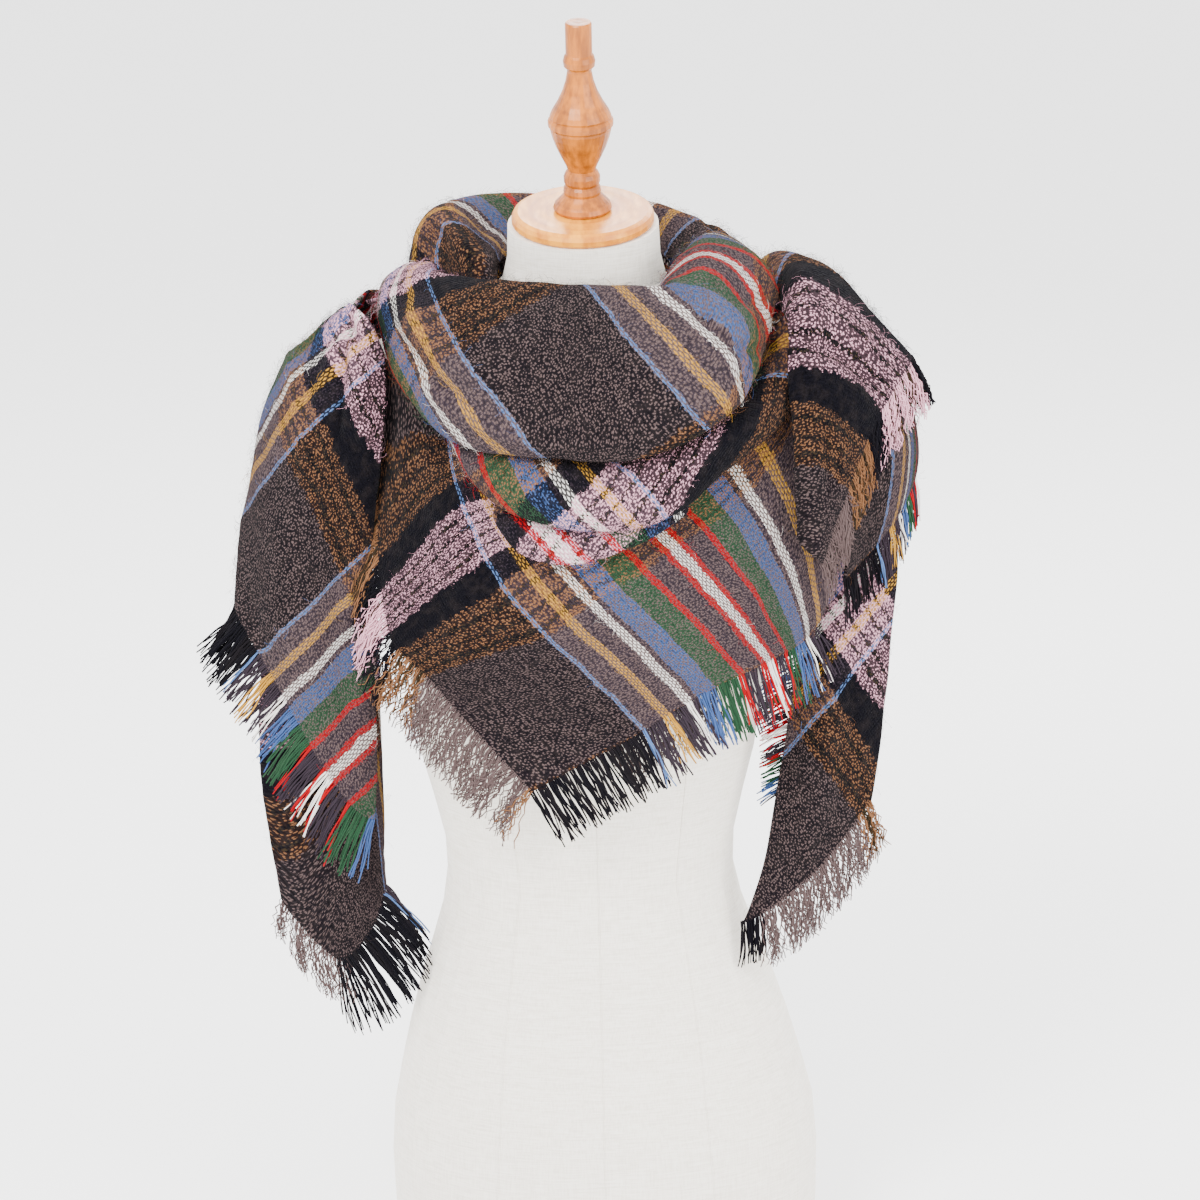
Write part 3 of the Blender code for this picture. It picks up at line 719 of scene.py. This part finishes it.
def fringe(stretch, name, node, side, span, kind, leans, reach, seed, layers):
    """Loose yarns along an edge. span is the part of the edge, and leans are the ways they hang at its
    two ends. Neighbours gather into locks that sway together."""
    material, pitch, radius, curl, turns, stray, gather = YARNS[kind]
    random = np.random.default_rng(seed)
    edge, edge_normal, edge_cut, inside = edge_of(stretch, side)
    edge_reach = reach_along(edge)
    count = max(6, int(edge_reach[-1] * (span[1] - span[0]) / pitch))
    edge_along = unit(np.gradient(edge, axis=0))
    edge_outward = np.cross(edge_along, edge_normal)
    edge_outward *= np.sign((edge_outward * (edge - inside)).sum(axis=1, keepdims=True))
    at = np.linspace(*span, count) * edge_reach[-1]
    root, outward, normal, along, cut = (
        np.stack([np.interp(at, edge_reach, column) for column in part.T], axis=1)
        for part in (edge, unit(edge_outward), edge_normal, edge_along, edge_cut)
    )
    blend = np.linspace(0, 1, count)[:, None]
    lean = unit(np.array(leans[0], float) * (1 - blend) + np.array(leans[1], float) * blend)
    hang = unit(outward * 0.3 + lean * 0.9)
    order = np.arange(count) + 2.2 * np.sin(np.arange(count) * 0.31 + seed)
    lock = np.floor(order / LOCK).astype(int)
    pull = ((lock + 0.5) * LOCK - order) * pitch * gather / reach
    yarn_cut = np.hstack([cut, np.full((count, 1), OUTSIDE)])
    t = np.linspace(0, 1, STRAND_POINTS)[None, :, None]
    lines, thick = [], []
    for layer in range(layers):
        sway = random.normal(size=count)[lock] * stray * 2 * gather
        drift = (pull + sway + random.normal(size=count) * stray)[:, None]
        long = reach * random.uniform(0.80, 1.06, (count, 1, 1))
        shift = (layer - (layers - 1) / 2) * LAYER_GAP
        start = root + along * random.normal(size=(count, 1)) * 0.4 + normal * shift - outward * 1.5
        phase = random.uniform(0, 6.28, (2, count, 1, 1))
        rate = turns * random.uniform(0.7, 1.4, (count, 1, 1)) * 2 * math.pi
        size = curl * random.uniform(0.5, 1.3, (count, 1, 1)) * np.minimum(t * 2.2, 1)
        # A yarn leaves the edge straight out, then hangs, and its curl grows from nothing at the root.
        path = start[:, None] + outward[:, None] * long * 0.20 * (1 - (1 - t) ** 2)
        path = path + hang[:, None] * long * (0.15 * t + 0.73 * t**1.4)
        path = path + along[:, None] * (long * drift[:, None] * t**1.3 + size * np.sin(rate * t + phase[0]))
        path = path + normal[:, None] * size * 0.6 * np.cos(rate * t + phase[1])
        lines.append(path)
        slub = 1 + 0.22 * np.sin(t * random.uniform(6, 16, (count, 1, 1)) + phase[1])
        thick.append(slub[..., 0] * (1.0 - 0.3 * t[..., 0] ** 4))
    lines, thick = np.concatenate(lines), np.concatenate(thick)
    cloth = np.repeat(np.tile(yarn_cut, (layers, 1)), STRAND_POINTS, axis=0)
    clear_of_form(lines, YARN_CLEAR)
    starts = np.arange(len(lines) * STRAND_POINTS).reshape(len(lines), STRAND_POINTS)
    edges = np.stack([starts[:, :-1].ravel(), starts[:, 1:].ravel()], axis=1)
    mesh = bpy.data.meshes.new(name + "_lines")
    mesh.from_pydata((lines.reshape(-1, 3) * MM).tolist(), edges.tolist(), [])
    mesh.attributes.new("cloth", "FLOAT_VECTOR", "POINT").data.foreach_set("vector", cloth.ravel())
    mesh.attributes.new("thick", "FLOAT", "POINT").data.foreach_set("value", thick.ravel())
    source = in_scene(name + "_lines", mesh)
    values = {"Yarn_radius": radius * MM, "Sides": YARN_SIDES}
    made = made_by_nodes(source, name, YARN, material, "fringe_yarn", **values)
    bpy.data.objects.remove(source)
    if node:
        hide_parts(node)
    return made


def drape(
    name, node, rows, creases=(), *, seed,
    nap=None, density=NAP_DENSITY, fringes=(), uneven=1.0,
):
    """A stretch of cloth in place of its node, with its nap and fringes. nap is the nap's seed."""
    stretch = cloth_piece(name, rows, creases, uneven, seed)
    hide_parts(node)
    added = [nap_on(stretch, nap, density)] if nap else []
    added += [fringe(stretch, *yarns) for yarns in fringes]


# ---------------------------------------------------------------- cowl
# The folded edge of the square goes round the front of the neck and falls in three soft rolls, each
# tucked back under the one above. Pulled from both sides, the falls crease where the ends leave them.


def swag_rows(stations, foot_in, foot_drop, tuck_in, tuck_up):
    """Rows of foot, crest, shoulder, belly, lip and tuck, from each station's middle four."""
    rows = []
    for crest, shoulder, belly, lip in stations:
        crest, lip = np.array(crest, float), np.array(lip, float)
        away = unit(np.array([crest[0], crest[1], 0.0]))
        out = unit(np.array([lip[0], lip[1], 0.0]))
        frontness = max(0.0, -away[1])
        foot = crest - away * foot_in - [0, 0, foot_drop * (0.15 + 0.85 * frontness**2)]
        tuck = lip - out * tuck_in + [0, 0, tuck_up]
        rows.append([foot, crest, shoulder, belly, lip, tuck])
    return rows


# Columns: crest, shoulder, belly, lip, each (x, y, z).
TOP_FALL = [
    ((-112, 6, 788), (-130, 4, 788), (-147, -4, 776), (-149, -10, 764)),
    ((-106, -26, 788), (-124, -34, 787), (-143, -50, 762), (-137, -70, 724)),
    ((-64, -74, 789), (-80, -100, 785), (-98, -140, 742), (-96, -132, 688)),
    ((-18, -98, 790), (-24, -130, 782), (-33, -184, 730), (-34, -172, 686)),
    ((25, -100, 788), (27, -134, 779), (30, -190, 726), (34, -178, 683)),
    ((60, -91, 786), (72, -114, 779), (90, -158, 742), (97, -146, 705)),
    ((60, -82, 787), (84, -93, 784), (110, -124, 760), (119, -112, 726)),
    ((58, -72, 789), (84, -64, 794), (119, -80, 778), (127, -92, 742)),
    ((66, -44, 793), (88, -22, 806), (122, -20, 796), (139, -31, 768)),
    ((78, 4, 796), (96, 8, 806), (122, 14, 788), (130, 12, 770)),
]
# Where the crest and the lip lie on the flat cloth. Columns: u, v at the crest, u, v at the lip.
TOP_CUT = [
    (-70, -170, -150, -130),
    (-44, -137, -150, -85),
    (-2, -104, -104, -28),
    (38, -67, -54, 12),
    (76, -34, 6, 60),
    (106, -8, 67, 70),
    [(150, -30), (132, 0), (112, 20), (106, 50), (128, 85), (120, 100)],
    [(190, -30), (166, 0), (136, 20), (152, 55), (150, 98), (140, 112)],
    [(220, -20), (206, 10), (208, 30), (204, 60), (190, 100), (180, 112)],
    [(270, -10), (262, 20), (264, 40), (258, 70), (240, 100), (230, 112)],
]
TOP_CREASES = [
    ([(-128, 770), (-100, 748), (-62, 738)], 6, 4.5),
    ([(-134, 758), (-112, 734), (-84, 722)], 5, -4.0),
    ([(-118, 732), (-84, 708), (-44, 700)], 6, 3.5),
    ([(-140, 776), (-122, 782), (-100, 778)], 5, -3.0),
    ([(112, 712), (84, 722), (40, 730)], 7, 3.0),
    ([(126, 740), (104, 752), (76, 776)], 5, -5.0),
    ([(132, 764), (112, 778), (84, 790)], 5, -4.0),
    ([(30, 700), (-20, 694), (-70, 704)], 5, 2.5),
]
MIDDLE_FALL = [
    ((-96, -84, 712), (-102, -92, 709), (-106, -98, 702), (-101, -98, 693)),
    ((-84, -107, 691), (-89, -116, 686), (-93, -123, 677), (-87, -120, 666)),
    ((-66, -127, 687), (-72, -140, 681), (-76, -152, 664), (-69, -146, 648)),
    ((-40, -146, 682), (-42, -161, 678), (-44, -175, 662), (-40, -161, 636)),
    ((10, -151, 678), (10, -167, 674), (10, -184, 656), (10, -167, 628)),
    ((60, -141, 686), (61, -157, 682), (62, -173, 668), (56, -159, 636)),
    ((98, -117, 704), (102, -131, 702), (107, -146, 692), (99, -134, 664)),
    ((126, -83, 722), (133, -94, 722), (139, -106, 710), (133, -106, 684)),
    ((136, -45, 752), (148, -51, 752), (159, -60, 740), (162, -58, 712)),
]
MIDDLE_CUT = [
    (-160, 0, -176, 22),
    (-140, 20, -165, 50),
    (-120, 42, -152, 75),
    (-92, 72, -128, 108),
    (-50, 107, -92, 146),
    (-10, 140, -50, 176),
    (30, 165, -8, 200),
    (60, 190, 25, 222),
    (86, 205, 60, 235),
]
MIDDLE_CREASES = [
    ([(-70, 664), (-30, 654), (20, 650)], 6, 2.0),
    ([(30, 660), (76, 670), (112, 690)], 6, -2.0),
    ([(-10, 644), (40, 640), (80, 654)], 5, 1.8),
]
LOW_FALL = [
    ((-64, -138, 646), (-66, -142, 643), (-68, -147, 636), (-63, -146, 626)),
    ((-40, -143, 642), (-43, -149, 638), (-46, -156, 624), (-46, -152, 608)),
    ((0, -144, 638), (-4, -150, 633), (-9, -159, 618), (-12, -155, 602)),
    ((40, -143, 644), (40, -148, 641), (39, -157, 629), (36, -153, 616)),
    ((66, -135, 650), (68, -140, 648), (70, -146, 642), (68, -143, 634)),
]
LOW_CUT = [
    (-171, 84, -184, 99),
    (-156, 104, -185, 125),
    (-130, 136, -165, 153),
    (-97, 161, -120, 178),
    (-74, 175, -84, 188),
]

drape(
    "cowl_top", "cowl_top_fall", on_the_cloth(swag_rows(TOP_FALL, 6, 44, 12, 8), TOP_CUT, 1, 4),
    TOP_CREASES,
    seed=3, nap=11,
)
drape(
    "cowl_middle", "cowl_middle_fall", on_the_cloth(swag_rows(MIDDLE_FALL, 3, 8, 8, 8), MIDDLE_CUT, 1, 4),
    MIDDLE_CREASES,
    uneven=0.6, seed=5, nap=12,
)
drape(
    "cowl_low", "cowl_low_fall", on_the_cloth(swag_rows(LOW_FALL, 1, 6, 4, 4), LOW_CUT, 1, 4),
    uneven=0.4, seed=7, nap=13,
)

# ---------------------------------------------------------------- front point
# One corner of the square hangs in front. Its lower right edge is the end of the warp, with straight
# yarns left long in the stripes' colours. Its left edge has the weft's own ends, which curl.


# Rows are warp lines from the fringed end up to the cowl. Columns: hem, then points up the line.
FRONT_POINT = [
    ((-47, -136, 426), (-97, -124, 481), (-122, -113, 508),
     (-146, -99, 532), (-153, -87, 574), (-149, -44, 733)),
    ((-6, -139, 449), (-47, -134, 495), (-78, -128, 528),
     (-108, -117, 562), (-124, -103, 610), (-126, -68, 710)),
    ((35, -140, 472), (3, -142, 509), (-34, -141, 547),
     (-70, -132, 593), (-92, -118, 644), (-102, -80, 685)),
    ((81, -132, 498), (51, -141, 537), (13, -142, 578),
     (-22, -138, 620), (-45, -126, 658), (-58, -99, 694)),
    ((127, -110, 513), (95, -128, 562), (58, -137, 609),
     (30, -136, 640), (8, -128, 674), (-12, -108, 708)),
    ((158, -90, 526), (147, -99, 582), (118, -107, 645),
     (99, -108, 672), (80, -106, 691), (62, -96, 711)),
    ((172, -84, 556), (165, -88, 628), (151, -84, 690),
     (139, -79, 698), (122, -75, 704), (106, -69, 711)),
]
FRONT_U = (-35, 8, 50, 106, 162, 240, 274)
FRONT_V = (-60, 0, 60, 107, 181, 240)
FRONT_CREASES = [
    ([(60, 700), (90, 620), (120, 540)], 10, 3.0),
    ([(84, 690), (120, 610), (146, 560)], 8, -3.0),
    ([(20, 600), (50, 540), (90, 500)], 12, 2.0),
    ([(-110, 640), (-90, 580), (-100, 520)], 12, 3.0),
    ([(-60, 600), (-30, 540), (-20, 480)], 14, 2.0),
]
UNDER_POINT = [
    ((6, -124, 467), (-18, -124, 500), (-40, -120, 532)),
    ((44, -126, 486), (20, -127, 520), (0, -125, 550)),
    ((84, -118, 508), (64, -120, 540), (44, -118, 570)),
]
UNDER_CUT = [(-35, -20, 10, -20), (-35, 20, 10, 20), (-35, 56, 10, 56)]

# Columns: piece, node, edge, part of the edge, kind, how the yarns hang at its two ends, their length in
# mm, seed, layers.
FRONT_YARNS = [
    ("front_weft_yarns", "front_weft_fringe", "first_row", (0.0, 0.74), "weft",
     ((-0.5, -0.1, -0.9), (-0.1, -0.5, -0.8)), 42, 31, 3),
    ("front_warp_yarns", "front_warp_fringe", "first_column", (0.0, 0.9), "warp",
     ((0.45, -0.1, -0.9), (0.3, -0.1, -0.95)), 44, 32, 2),
]
UNDER_YARNS = [
    ("under_yarns", "under_fringe", "first_column", (0.0, 1.0), "weft",
     ((0.2, 0.0, -1.0), (0.1, 0.0, -1.0)), 44, 33, 2),
]

drape(
    "front_point_cloth", "front_point",
    [[(*place, u, v) for place, v in zip(row, FRONT_V)] for row, u in zip(FRONT_POINT, FRONT_U)],
    FRONT_CREASES,
    seed=21, nap=23, fringes=FRONT_YARNS,
)
drape(
    "under_point_cloth", "under_point", on_the_cloth(UNDER_POINT, UNDER_CUT),
    uneven=0.3, seed=22, fringes=UNDER_YARNS,
)

# ---------------------------------------------------------------- collar and back
# Behind the neck the cloth stands in one soft roll, and under it a single layer drapes over the back and
# the backs of the shoulders to a fringed hem.

# From left to right. Columns: foot beside the neck, crest, outside, outer foot.
COLLAR = [
    ((-66, -34, 774), (-72, -38, 781), (-81, -37, 780), (-87, -34, 770)),
    ((-64, -4, 784), (-76, -4, 804), (-89, -6, 804), (-97, -6, 778)),
    ((-63, 14, 785), (-84, 15, 812), (-97, 17, 810), (-103, 20, 778)),
    ((-60, 34, 786), (-95, 42, 819), (-116, 46, 813), (-127, 48, 775)),
    ((-54, 54, 784), (-95, 70, 821), (-115, 78, 810), (-128, 88, 763)),
    ((-36, 74, 780), (-58, 94, 822), (-66, 110, 812), (-72, 128, 750)),
    ((0, 82, 778), (0, 100, 817), (0, 116, 807), (0, 134, 742)),
    ((40, 72, 779), (54, 90, 811), (62, 104, 803), (70, 124, 748)),
    ((62, 46, 781), (88, 64, 803), (102, 72, 796), (116, 88, 762)),
    ((68, 25, 783), (90, 36, 800), (106, 42, 793), (119, 47, 765)),
]
COLLAR_CUT = [
    (-6, 58, -6, 76),
    (26, 58, 26, 92),
    (44, 58, 44, 96),
    (68, 60, 72, 110),
    (92, 60, 102, 118),
    (134, 60, 140, 122),
    (186, 60, 190, 126),
    (238, 60, 242, 124),
    (280, 60, 284, 112),
    (308, 60, 312, 104),
]
COLLAR_CREASES = [
    ([(-108, 816), (-88, 804), (-66, 788)], 5, 3.5),
    ([(-98, 818), (-80, 810), (-64, 800)], 4, -3.0),
    ([(-122, 780), (-112, 800), (-96, 818)], 6, -3.0),
    ([(-40, 800), (0, 806), (44, 800)], 7, 3.0),
    ([(70, 786), (92, 800), (104, 782)], 5, -3.5),
]
# From the crest down to the hem.
BACK_DRAPE = [
    ((-168, 32, 752), (-188, 60, 716), (-196, 66, 650), (-198, 60, 590)),
    ((-118, 50, 764), (-134, 86, 722), (-142, 98, 640), (-145, 94, 555)),
    ((-56, 76, 768), (-60, 104, 722), (-64, 117, 640), (-66, 114, 525)),
    ((0, 86, 766), (0, 111, 722), (0, 124, 640), (0, 126, 505)),
    ((54, 78, 768), (60, 106, 722), (66, 118, 640), (68, 116, 520)),
    ((104, 56, 764), (124, 92, 722), (134, 104, 640), (138, 100, 545)),
    ((140, 56, 748), (162, 84, 706), (170, 90, 640), (174, 86, 580)),
]
BACK_CUT = [
    (-190, 110, -130, -60),
    (-130, 160, -75, -60),
    (-60, 190, -5, -60),
    (0, 210, 55, -60),
    (60, 190, 115, -60),
    (125, 160, 180, -60),
    (190, 110, 250, -60),
]
BACK_CREASES = [
    ([(-30, 760), (-50, 660), (-60, 560)], 14, 5.0),
    ([(30, 760), (44, 650), (60, 560)], 12, 4.0),
    ([(0, 740), (-6, 620), (4, 530)], 9, -4.0),
    ([(-90, 740), (-120, 640), (-130, 580)], 14, 5.0),
    ([(96, 740), (126, 640), (136, 570)], 12, 5.0),
    ([(70, 720), (90, 620)], 8, -4.0),
    ([(-70, 720), (-92, 620), (-96, 560)], 8, -4.0),
]

BACK_YARNS = [
    ("back_yarns", "back_fringe", "last_column", (0.0, 1.0), "warp",
     ((0.0, 0.1, -1.0), (0.0, 0.1, -1.0)), 36, 45, 2),
]

drape(
    "collar_cloth", "neck_collar", on_the_cloth(COLLAR, COLLAR_CUT, 1, 3), COLLAR_CREASES,
    seed=41, nap=43,
)
drape(
    "back_cloth", "back_drape", on_the_cloth(BACK_DRAPE, BACK_CUT), BACK_CREASES,
    seed=42, nap=44, density=NAP_DENSITY * 0.6,
    fringes=BACK_YARNS,
)

# ---------------------------------------------------------------- left end
# One end of the square comes over the left shoulder and hangs in two layers. The outer one ends in the
# warp's fringe. The inner one is a corner, with the weft's curled ends on one edge.

# Lines from the shoulder down to the hem, from the front round to the back.
LEFT_END = [
    ((-147, -60, 736), (-146, -82, 702), (-156, -81, 625),
     (-165, -71, 545), (-162, -63, 460), (-166, -60, 381)),
    ((-157, -62, 762), (-164, -88, 712), (-170, -88, 630),
     (-176, -80, 545), (-175, -73, 465), (-178, -68, 391)),
    ((-168, -40, 768), (-188, -76, 716), (-201, -82, 620),
     (-207, -76, 540), (-206, -71, 480), (-203, -70, 429)),
    ((-172, -12, 762), (-208, -48, 722), (-230, -58, 640),
     (-240, -58, 570), (-238, -58, 525), (-230, -60, 482)),
    ((-166, 20, 763), (-212, 0, 730), (-237, -6, 688),
     (-252, -14, 622), (-262, -20, 575), (-264, -28, 540)),
    ((-160, 52, 760), (-206, 54, 712), (-228, 44, 650),
     (-238, 34, 590), (-242, 24, 545), (-243, 14, 515)),
    ((-148, 84, 750), (-186, 96, 700), (-204, 94, 640),
     (-210, 84, 580), (-208, 74, 530), (-204, 64, 495)),
]
# How u and v rise over the left end: a start, and the rise with x, y and z.
LEFT_U = (636, 0.773, -0.231, -0.804)
LEFT_V = (30, 1.009, 0.109, 0.381)
LEFT_TURN = 3  # the line where the cloth turns the corner of the shoulder
LEFT_CREASES = [
    ([(-172, 762), (-166, 745)], 6, -8.0),
    ([(-171, 756), (-186, 722), (-196, 686)], 5, 5.0),
    ([(-171, 756), (-176, 720), (-180, 678)], 4, -5.0),
    ([(-172, 754), (-198, 738), (-216, 722)], 5, -5.0),
    ([(-168, 750), (-162, 716), (-160, 672)], 5, 4.0),
    ([(-212, 735), (-206, 690), (-198, 640)], 9, 4.0),
    ([(-215, 641), (-223, 549), (-208, 472)], 16, 5.0),
    ([(-190, 579), (-193, 512), (-182, 445)], 12, -6.0),
]
LEFT_TAIL = [
    ((-240, -22, 560), (-251, -24, 450), (-250, -24, 385), (-245, -25, 340), (-241, -25, 308)),
    ((-218, -32, 560), (-226, -36, 440), (-224, -36, 360), (-220, -34, 310), (-218, -32, 278)),
    ((-196, -36, 560), (-200, -38, 430), (-199, -38, 340), (-198, -36, 290), (-196, -34, 261)),
    ((-174, -36, 560), (-174, -38, 430), (-173, -38, 350), (-173, -36, 310), (-172, -36, 286)),
    ((-160, -30, 560), (-160, -34, 440), (-160, -36, 370), (-161, -36, 345), (-161, -34, 321)),
]
LEFT_TAIL_CUT = [
    (60, 215, -35, 35),
    (60, 210, -35, 10),
    (66, 205, -35, -30),
    (80, 200, 10, -45),
    (120, 190, 60, -45),
]
LEFT_TAIL_CREASES = [
    ([(-222, 440), (-215, 380), (-214, 310)], 12, 3.0),
    ([(-186, 420), (-182, 350)], 9, -3.0),
]

LEFT_YARNS = [
    ("left_end_yarns", "left_end_fringe", "last_column", (0.0, 1.0), "warp",
     ((-0.2, 0.0, -1.0), (-1.3, 0.0, -0.8)), 46, 55, 2),
]
LEFT_TAIL_YARNS = [
    ("left_tail_weft_yarns", None, "last_column", (0.0, 0.5), "weft",
     ((0.3, 0.0, -1.0), (0.3, 0.0, -1.0)), 38, 56, 2),
    ("left_tail_warp_yarns", "left_tail_fringe", "last_column", (0.45, 1.0), "warp",
     ((0.4, 0.0, -1.0), (0.3, 0.0, -1.0)), 58, 57, 3),
]

drape(
    "left_end_cloth", "left_end", straight_cut(LEFT_END, LEFT_U, LEFT_V, LEFT_TURN), LEFT_CREASES,
    seed=51, nap=53, fringes=LEFT_YARNS,
)
drape(
    "left_tail_cloth", "left_tail", on_the_cloth(LEFT_TAIL, LEFT_TAIL_CUT), LEFT_TAIL_CREASES,
    seed=52, nap=54, fringes=LEFT_TAIL_YARNS,
)

# ---------------------------------------------------------------- right end
# The other end is bunched over the right shoulder in four layers. The top one ends in locks of curled
# weft, the next and the one at the back in the warp's straight yarns, and the long one in both.

# Lines from the neck side out to the fringed edge, from the back round to the front.
RIGHT_END = [
    ((134, 100, 746), (152, 104, 749), (176, 96, 735), (200, 78, 707), (216, 60, 682)),
    ((128, 66, 768), (147, 60, 780), (175, 48, 769), (203, 34, 738), (226, 16, 706)),
    ((134, 28, 760), (149, 26, 780), (180, 14, 775), (212, -2, 744), (239, -28, 715)),
    ((141, -38, 757), (155, -42, 780), (182, -50, 766), (208, -56, 732), (226, -56, 703)),
    ((146, -82, 756), (163, -92, 753), (182, -92, 729), (198, -88, 702), (207, -84, 682)),
    ((144, -107, 712), (161, -113, 710), (178, -112, 694), (189, -108, 673), (194, -102, 659)),
    ((149, -114, 662), (160, -121, 656), (168, -121, 644), (174, -117, 632), (178, -111, 620)),
    ((150, -114, 604), (155, -118, 600), (159, -119, 595), (163, -117, 590), (166, -114, 586)),
]
RIGHT_CUT = [
    (90, 0, -35, 30),
    (80, 40, -35, 74),
    (66, 76, -35, 107),
    (46, 108, -35, 142),
    (42, 142, -35, 181),
    (40, 184, -35, 206),
    (22, 228, -35, 250),
    (-11, 272, -35, 285),
]
RIGHT_CREASES = [
    ([(146, 764), (176, 756), (205, 728)], 8, 4.0),
    ([(148, 748), (179, 737), (213, 702)], 6, -5.0),
    ([(150, 733), (179, 722), (205, 690)], 8, 4.0),
    ([(152, 712), (176, 700), (196, 672)], 6, -4.0),
    ([(154, 685), (157, 624), (162, 590)], 8, 3.0),
    ([(170, 690), (172, 641)], 6, -4.0),
]
RIGHT_MIDDLE = [
    ((210, 14, 716), (233, -10, 690), (241, -26, 660), (239, -33, 630)),
    ((198, -6, 728), (226, -38, 680), (230, -46, 632), (224, -48, 600)),
    ((184, -38, 728), (204, -64, 660), (206, -66, 610), (199, -66, 576)),
    ((172, -64, 706), (185, -84, 640), (187, -84, 600), (183, -82, 566)),
]
RIGHT_MIDDLE_CUT = [(150, 50, 165, -60), (66, 50, 80, -60), (25, 50, 32, -60), (-10, 50, -10, -60)]
# The long layer. Lines from under the others down to the hem, from its left side to its right.
RIGHT_TAIL = [
    ((152, -40, 640), (152, -44, 540), (146, -50, 462), (135, -54, 392), (122, -55, 326), (108, -54, 290)),
    ((168, -52, 640), (168, -58, 540), (164, -62, 462), (153, -62, 396), (140, -61, 346), (128, -58, 302)),
    ((196, -46, 640), (198, -56, 545), (192, -60, 470), (184, -60, 410), (176, -58, 370), (168, -58, 337)),
    ((221, -26, 640), (225, -32, 560), (219, -38, 490), (214, -41, 440), (209, -43, 404), (205, -45, 382)),
]
RIGHT_TAIL_U = (-94, -0.782, 0.179, 0.625)
RIGHT_TAIL_V = (-296, 0.854, 0.151, 0.528)
RIGHT_TAIL_TURN = 3  # its last line, so nothing turns the corner
RIGHT_TAIL_CREASES = [
    ([(176, 500), (168, 410), (154, 332)], 12, 4.0),
    ([(194, 520), (190, 450), (182, 380)], 9, -3.0),
    ([(160, 560), (154, 460)], 9, -3.0),
]
# The back layer. Lines run upwards.
RIGHT_UNDER = [
    ((148, -44, 395), (150, -42, 465), (151, -32, 560), (152, -24, 640), (167, -18, 704)),
    ((161, -44, 391), (170, -43, 480), (176, -36, 560), (180, -28, 640), (184, -18, 708)),
    ((190, -24, 400), (200, -20, 480), (206, -16, 560), (208, -8, 640), (206, 2, 704)),
]
RIGHT_UNDER_CUT = [(228, -60, -212, -60), (232, -25, -212, -25), (240, 15, -212, 15)]

RIGHT_YARNS = [
    ("right_end_yarns", "right_end_fringe", "last_column", (0.0, 1.0), "weft",
     ((0.2, -0.2, -0.95), (-0.1, -0.2, -0.95)), 34, 71, 3),
]
RIGHT_MIDDLE_YARNS = [
    ("right_middle_yarns", "right_middle_fringe", "last_column", (0.0, 1.0), "warp",
     ((0.0, -0.3, -0.95), (0.1, -0.2, -0.95)), 34, 72, 2),
]
RIGHT_TAIL_YARNS = [
    ("right_tail_yarns", "right_tail_fringe", "last_column", (0.12, 1.0), "weft",
     ((-0.1, -0.25, -1.0), (0.0, 0.0, -1.0)), 40, 73, 3),
    ("right_tip_yarns", None, "last_column", (0.0, 0.13), "warp",
     ((-0.3, -0.2, -1.0), (-0.2, -0.2, -1.0)), 32, 75, 3),
]
RIGHT_UNDER_YARNS = [
    ("right_under_yarns", "right_under_fringe", "first_row", (0.0, 0.5), "warp",
     ((-0.8, -0.6, -0.5), (-0.7, -0.8, -0.5)), 30, 74, 2),
]

drape(
    "right_end_cloth", "right_end", on_the_cloth(RIGHT_END, RIGHT_CUT), RIGHT_CREASES,
    seed=61, nap=65,
    fringes=RIGHT_YARNS,
)
drape(
    "right_middle_cloth", "right_middle", on_the_cloth(RIGHT_MIDDLE, RIGHT_MIDDLE_CUT),
    seed=62, nap=66, fringes=RIGHT_MIDDLE_YARNS,
)
drape(
    "right_tail_cloth", "right_tail",
    straight_cut(RIGHT_TAIL, RIGHT_TAIL_U, RIGHT_TAIL_V, RIGHT_TAIL_TURN), RIGHT_TAIL_CREASES,
    seed=63, nap=67,
    fringes=RIGHT_TAIL_YARNS,
)
drape(
    "right_under_cloth", "right_under", on_the_cloth(RIGHT_UNDER, RIGHT_UNDER_CUT),
    uneven=0.4, seed=64, fringes=RIGHT_UNDER_YARNS,
)
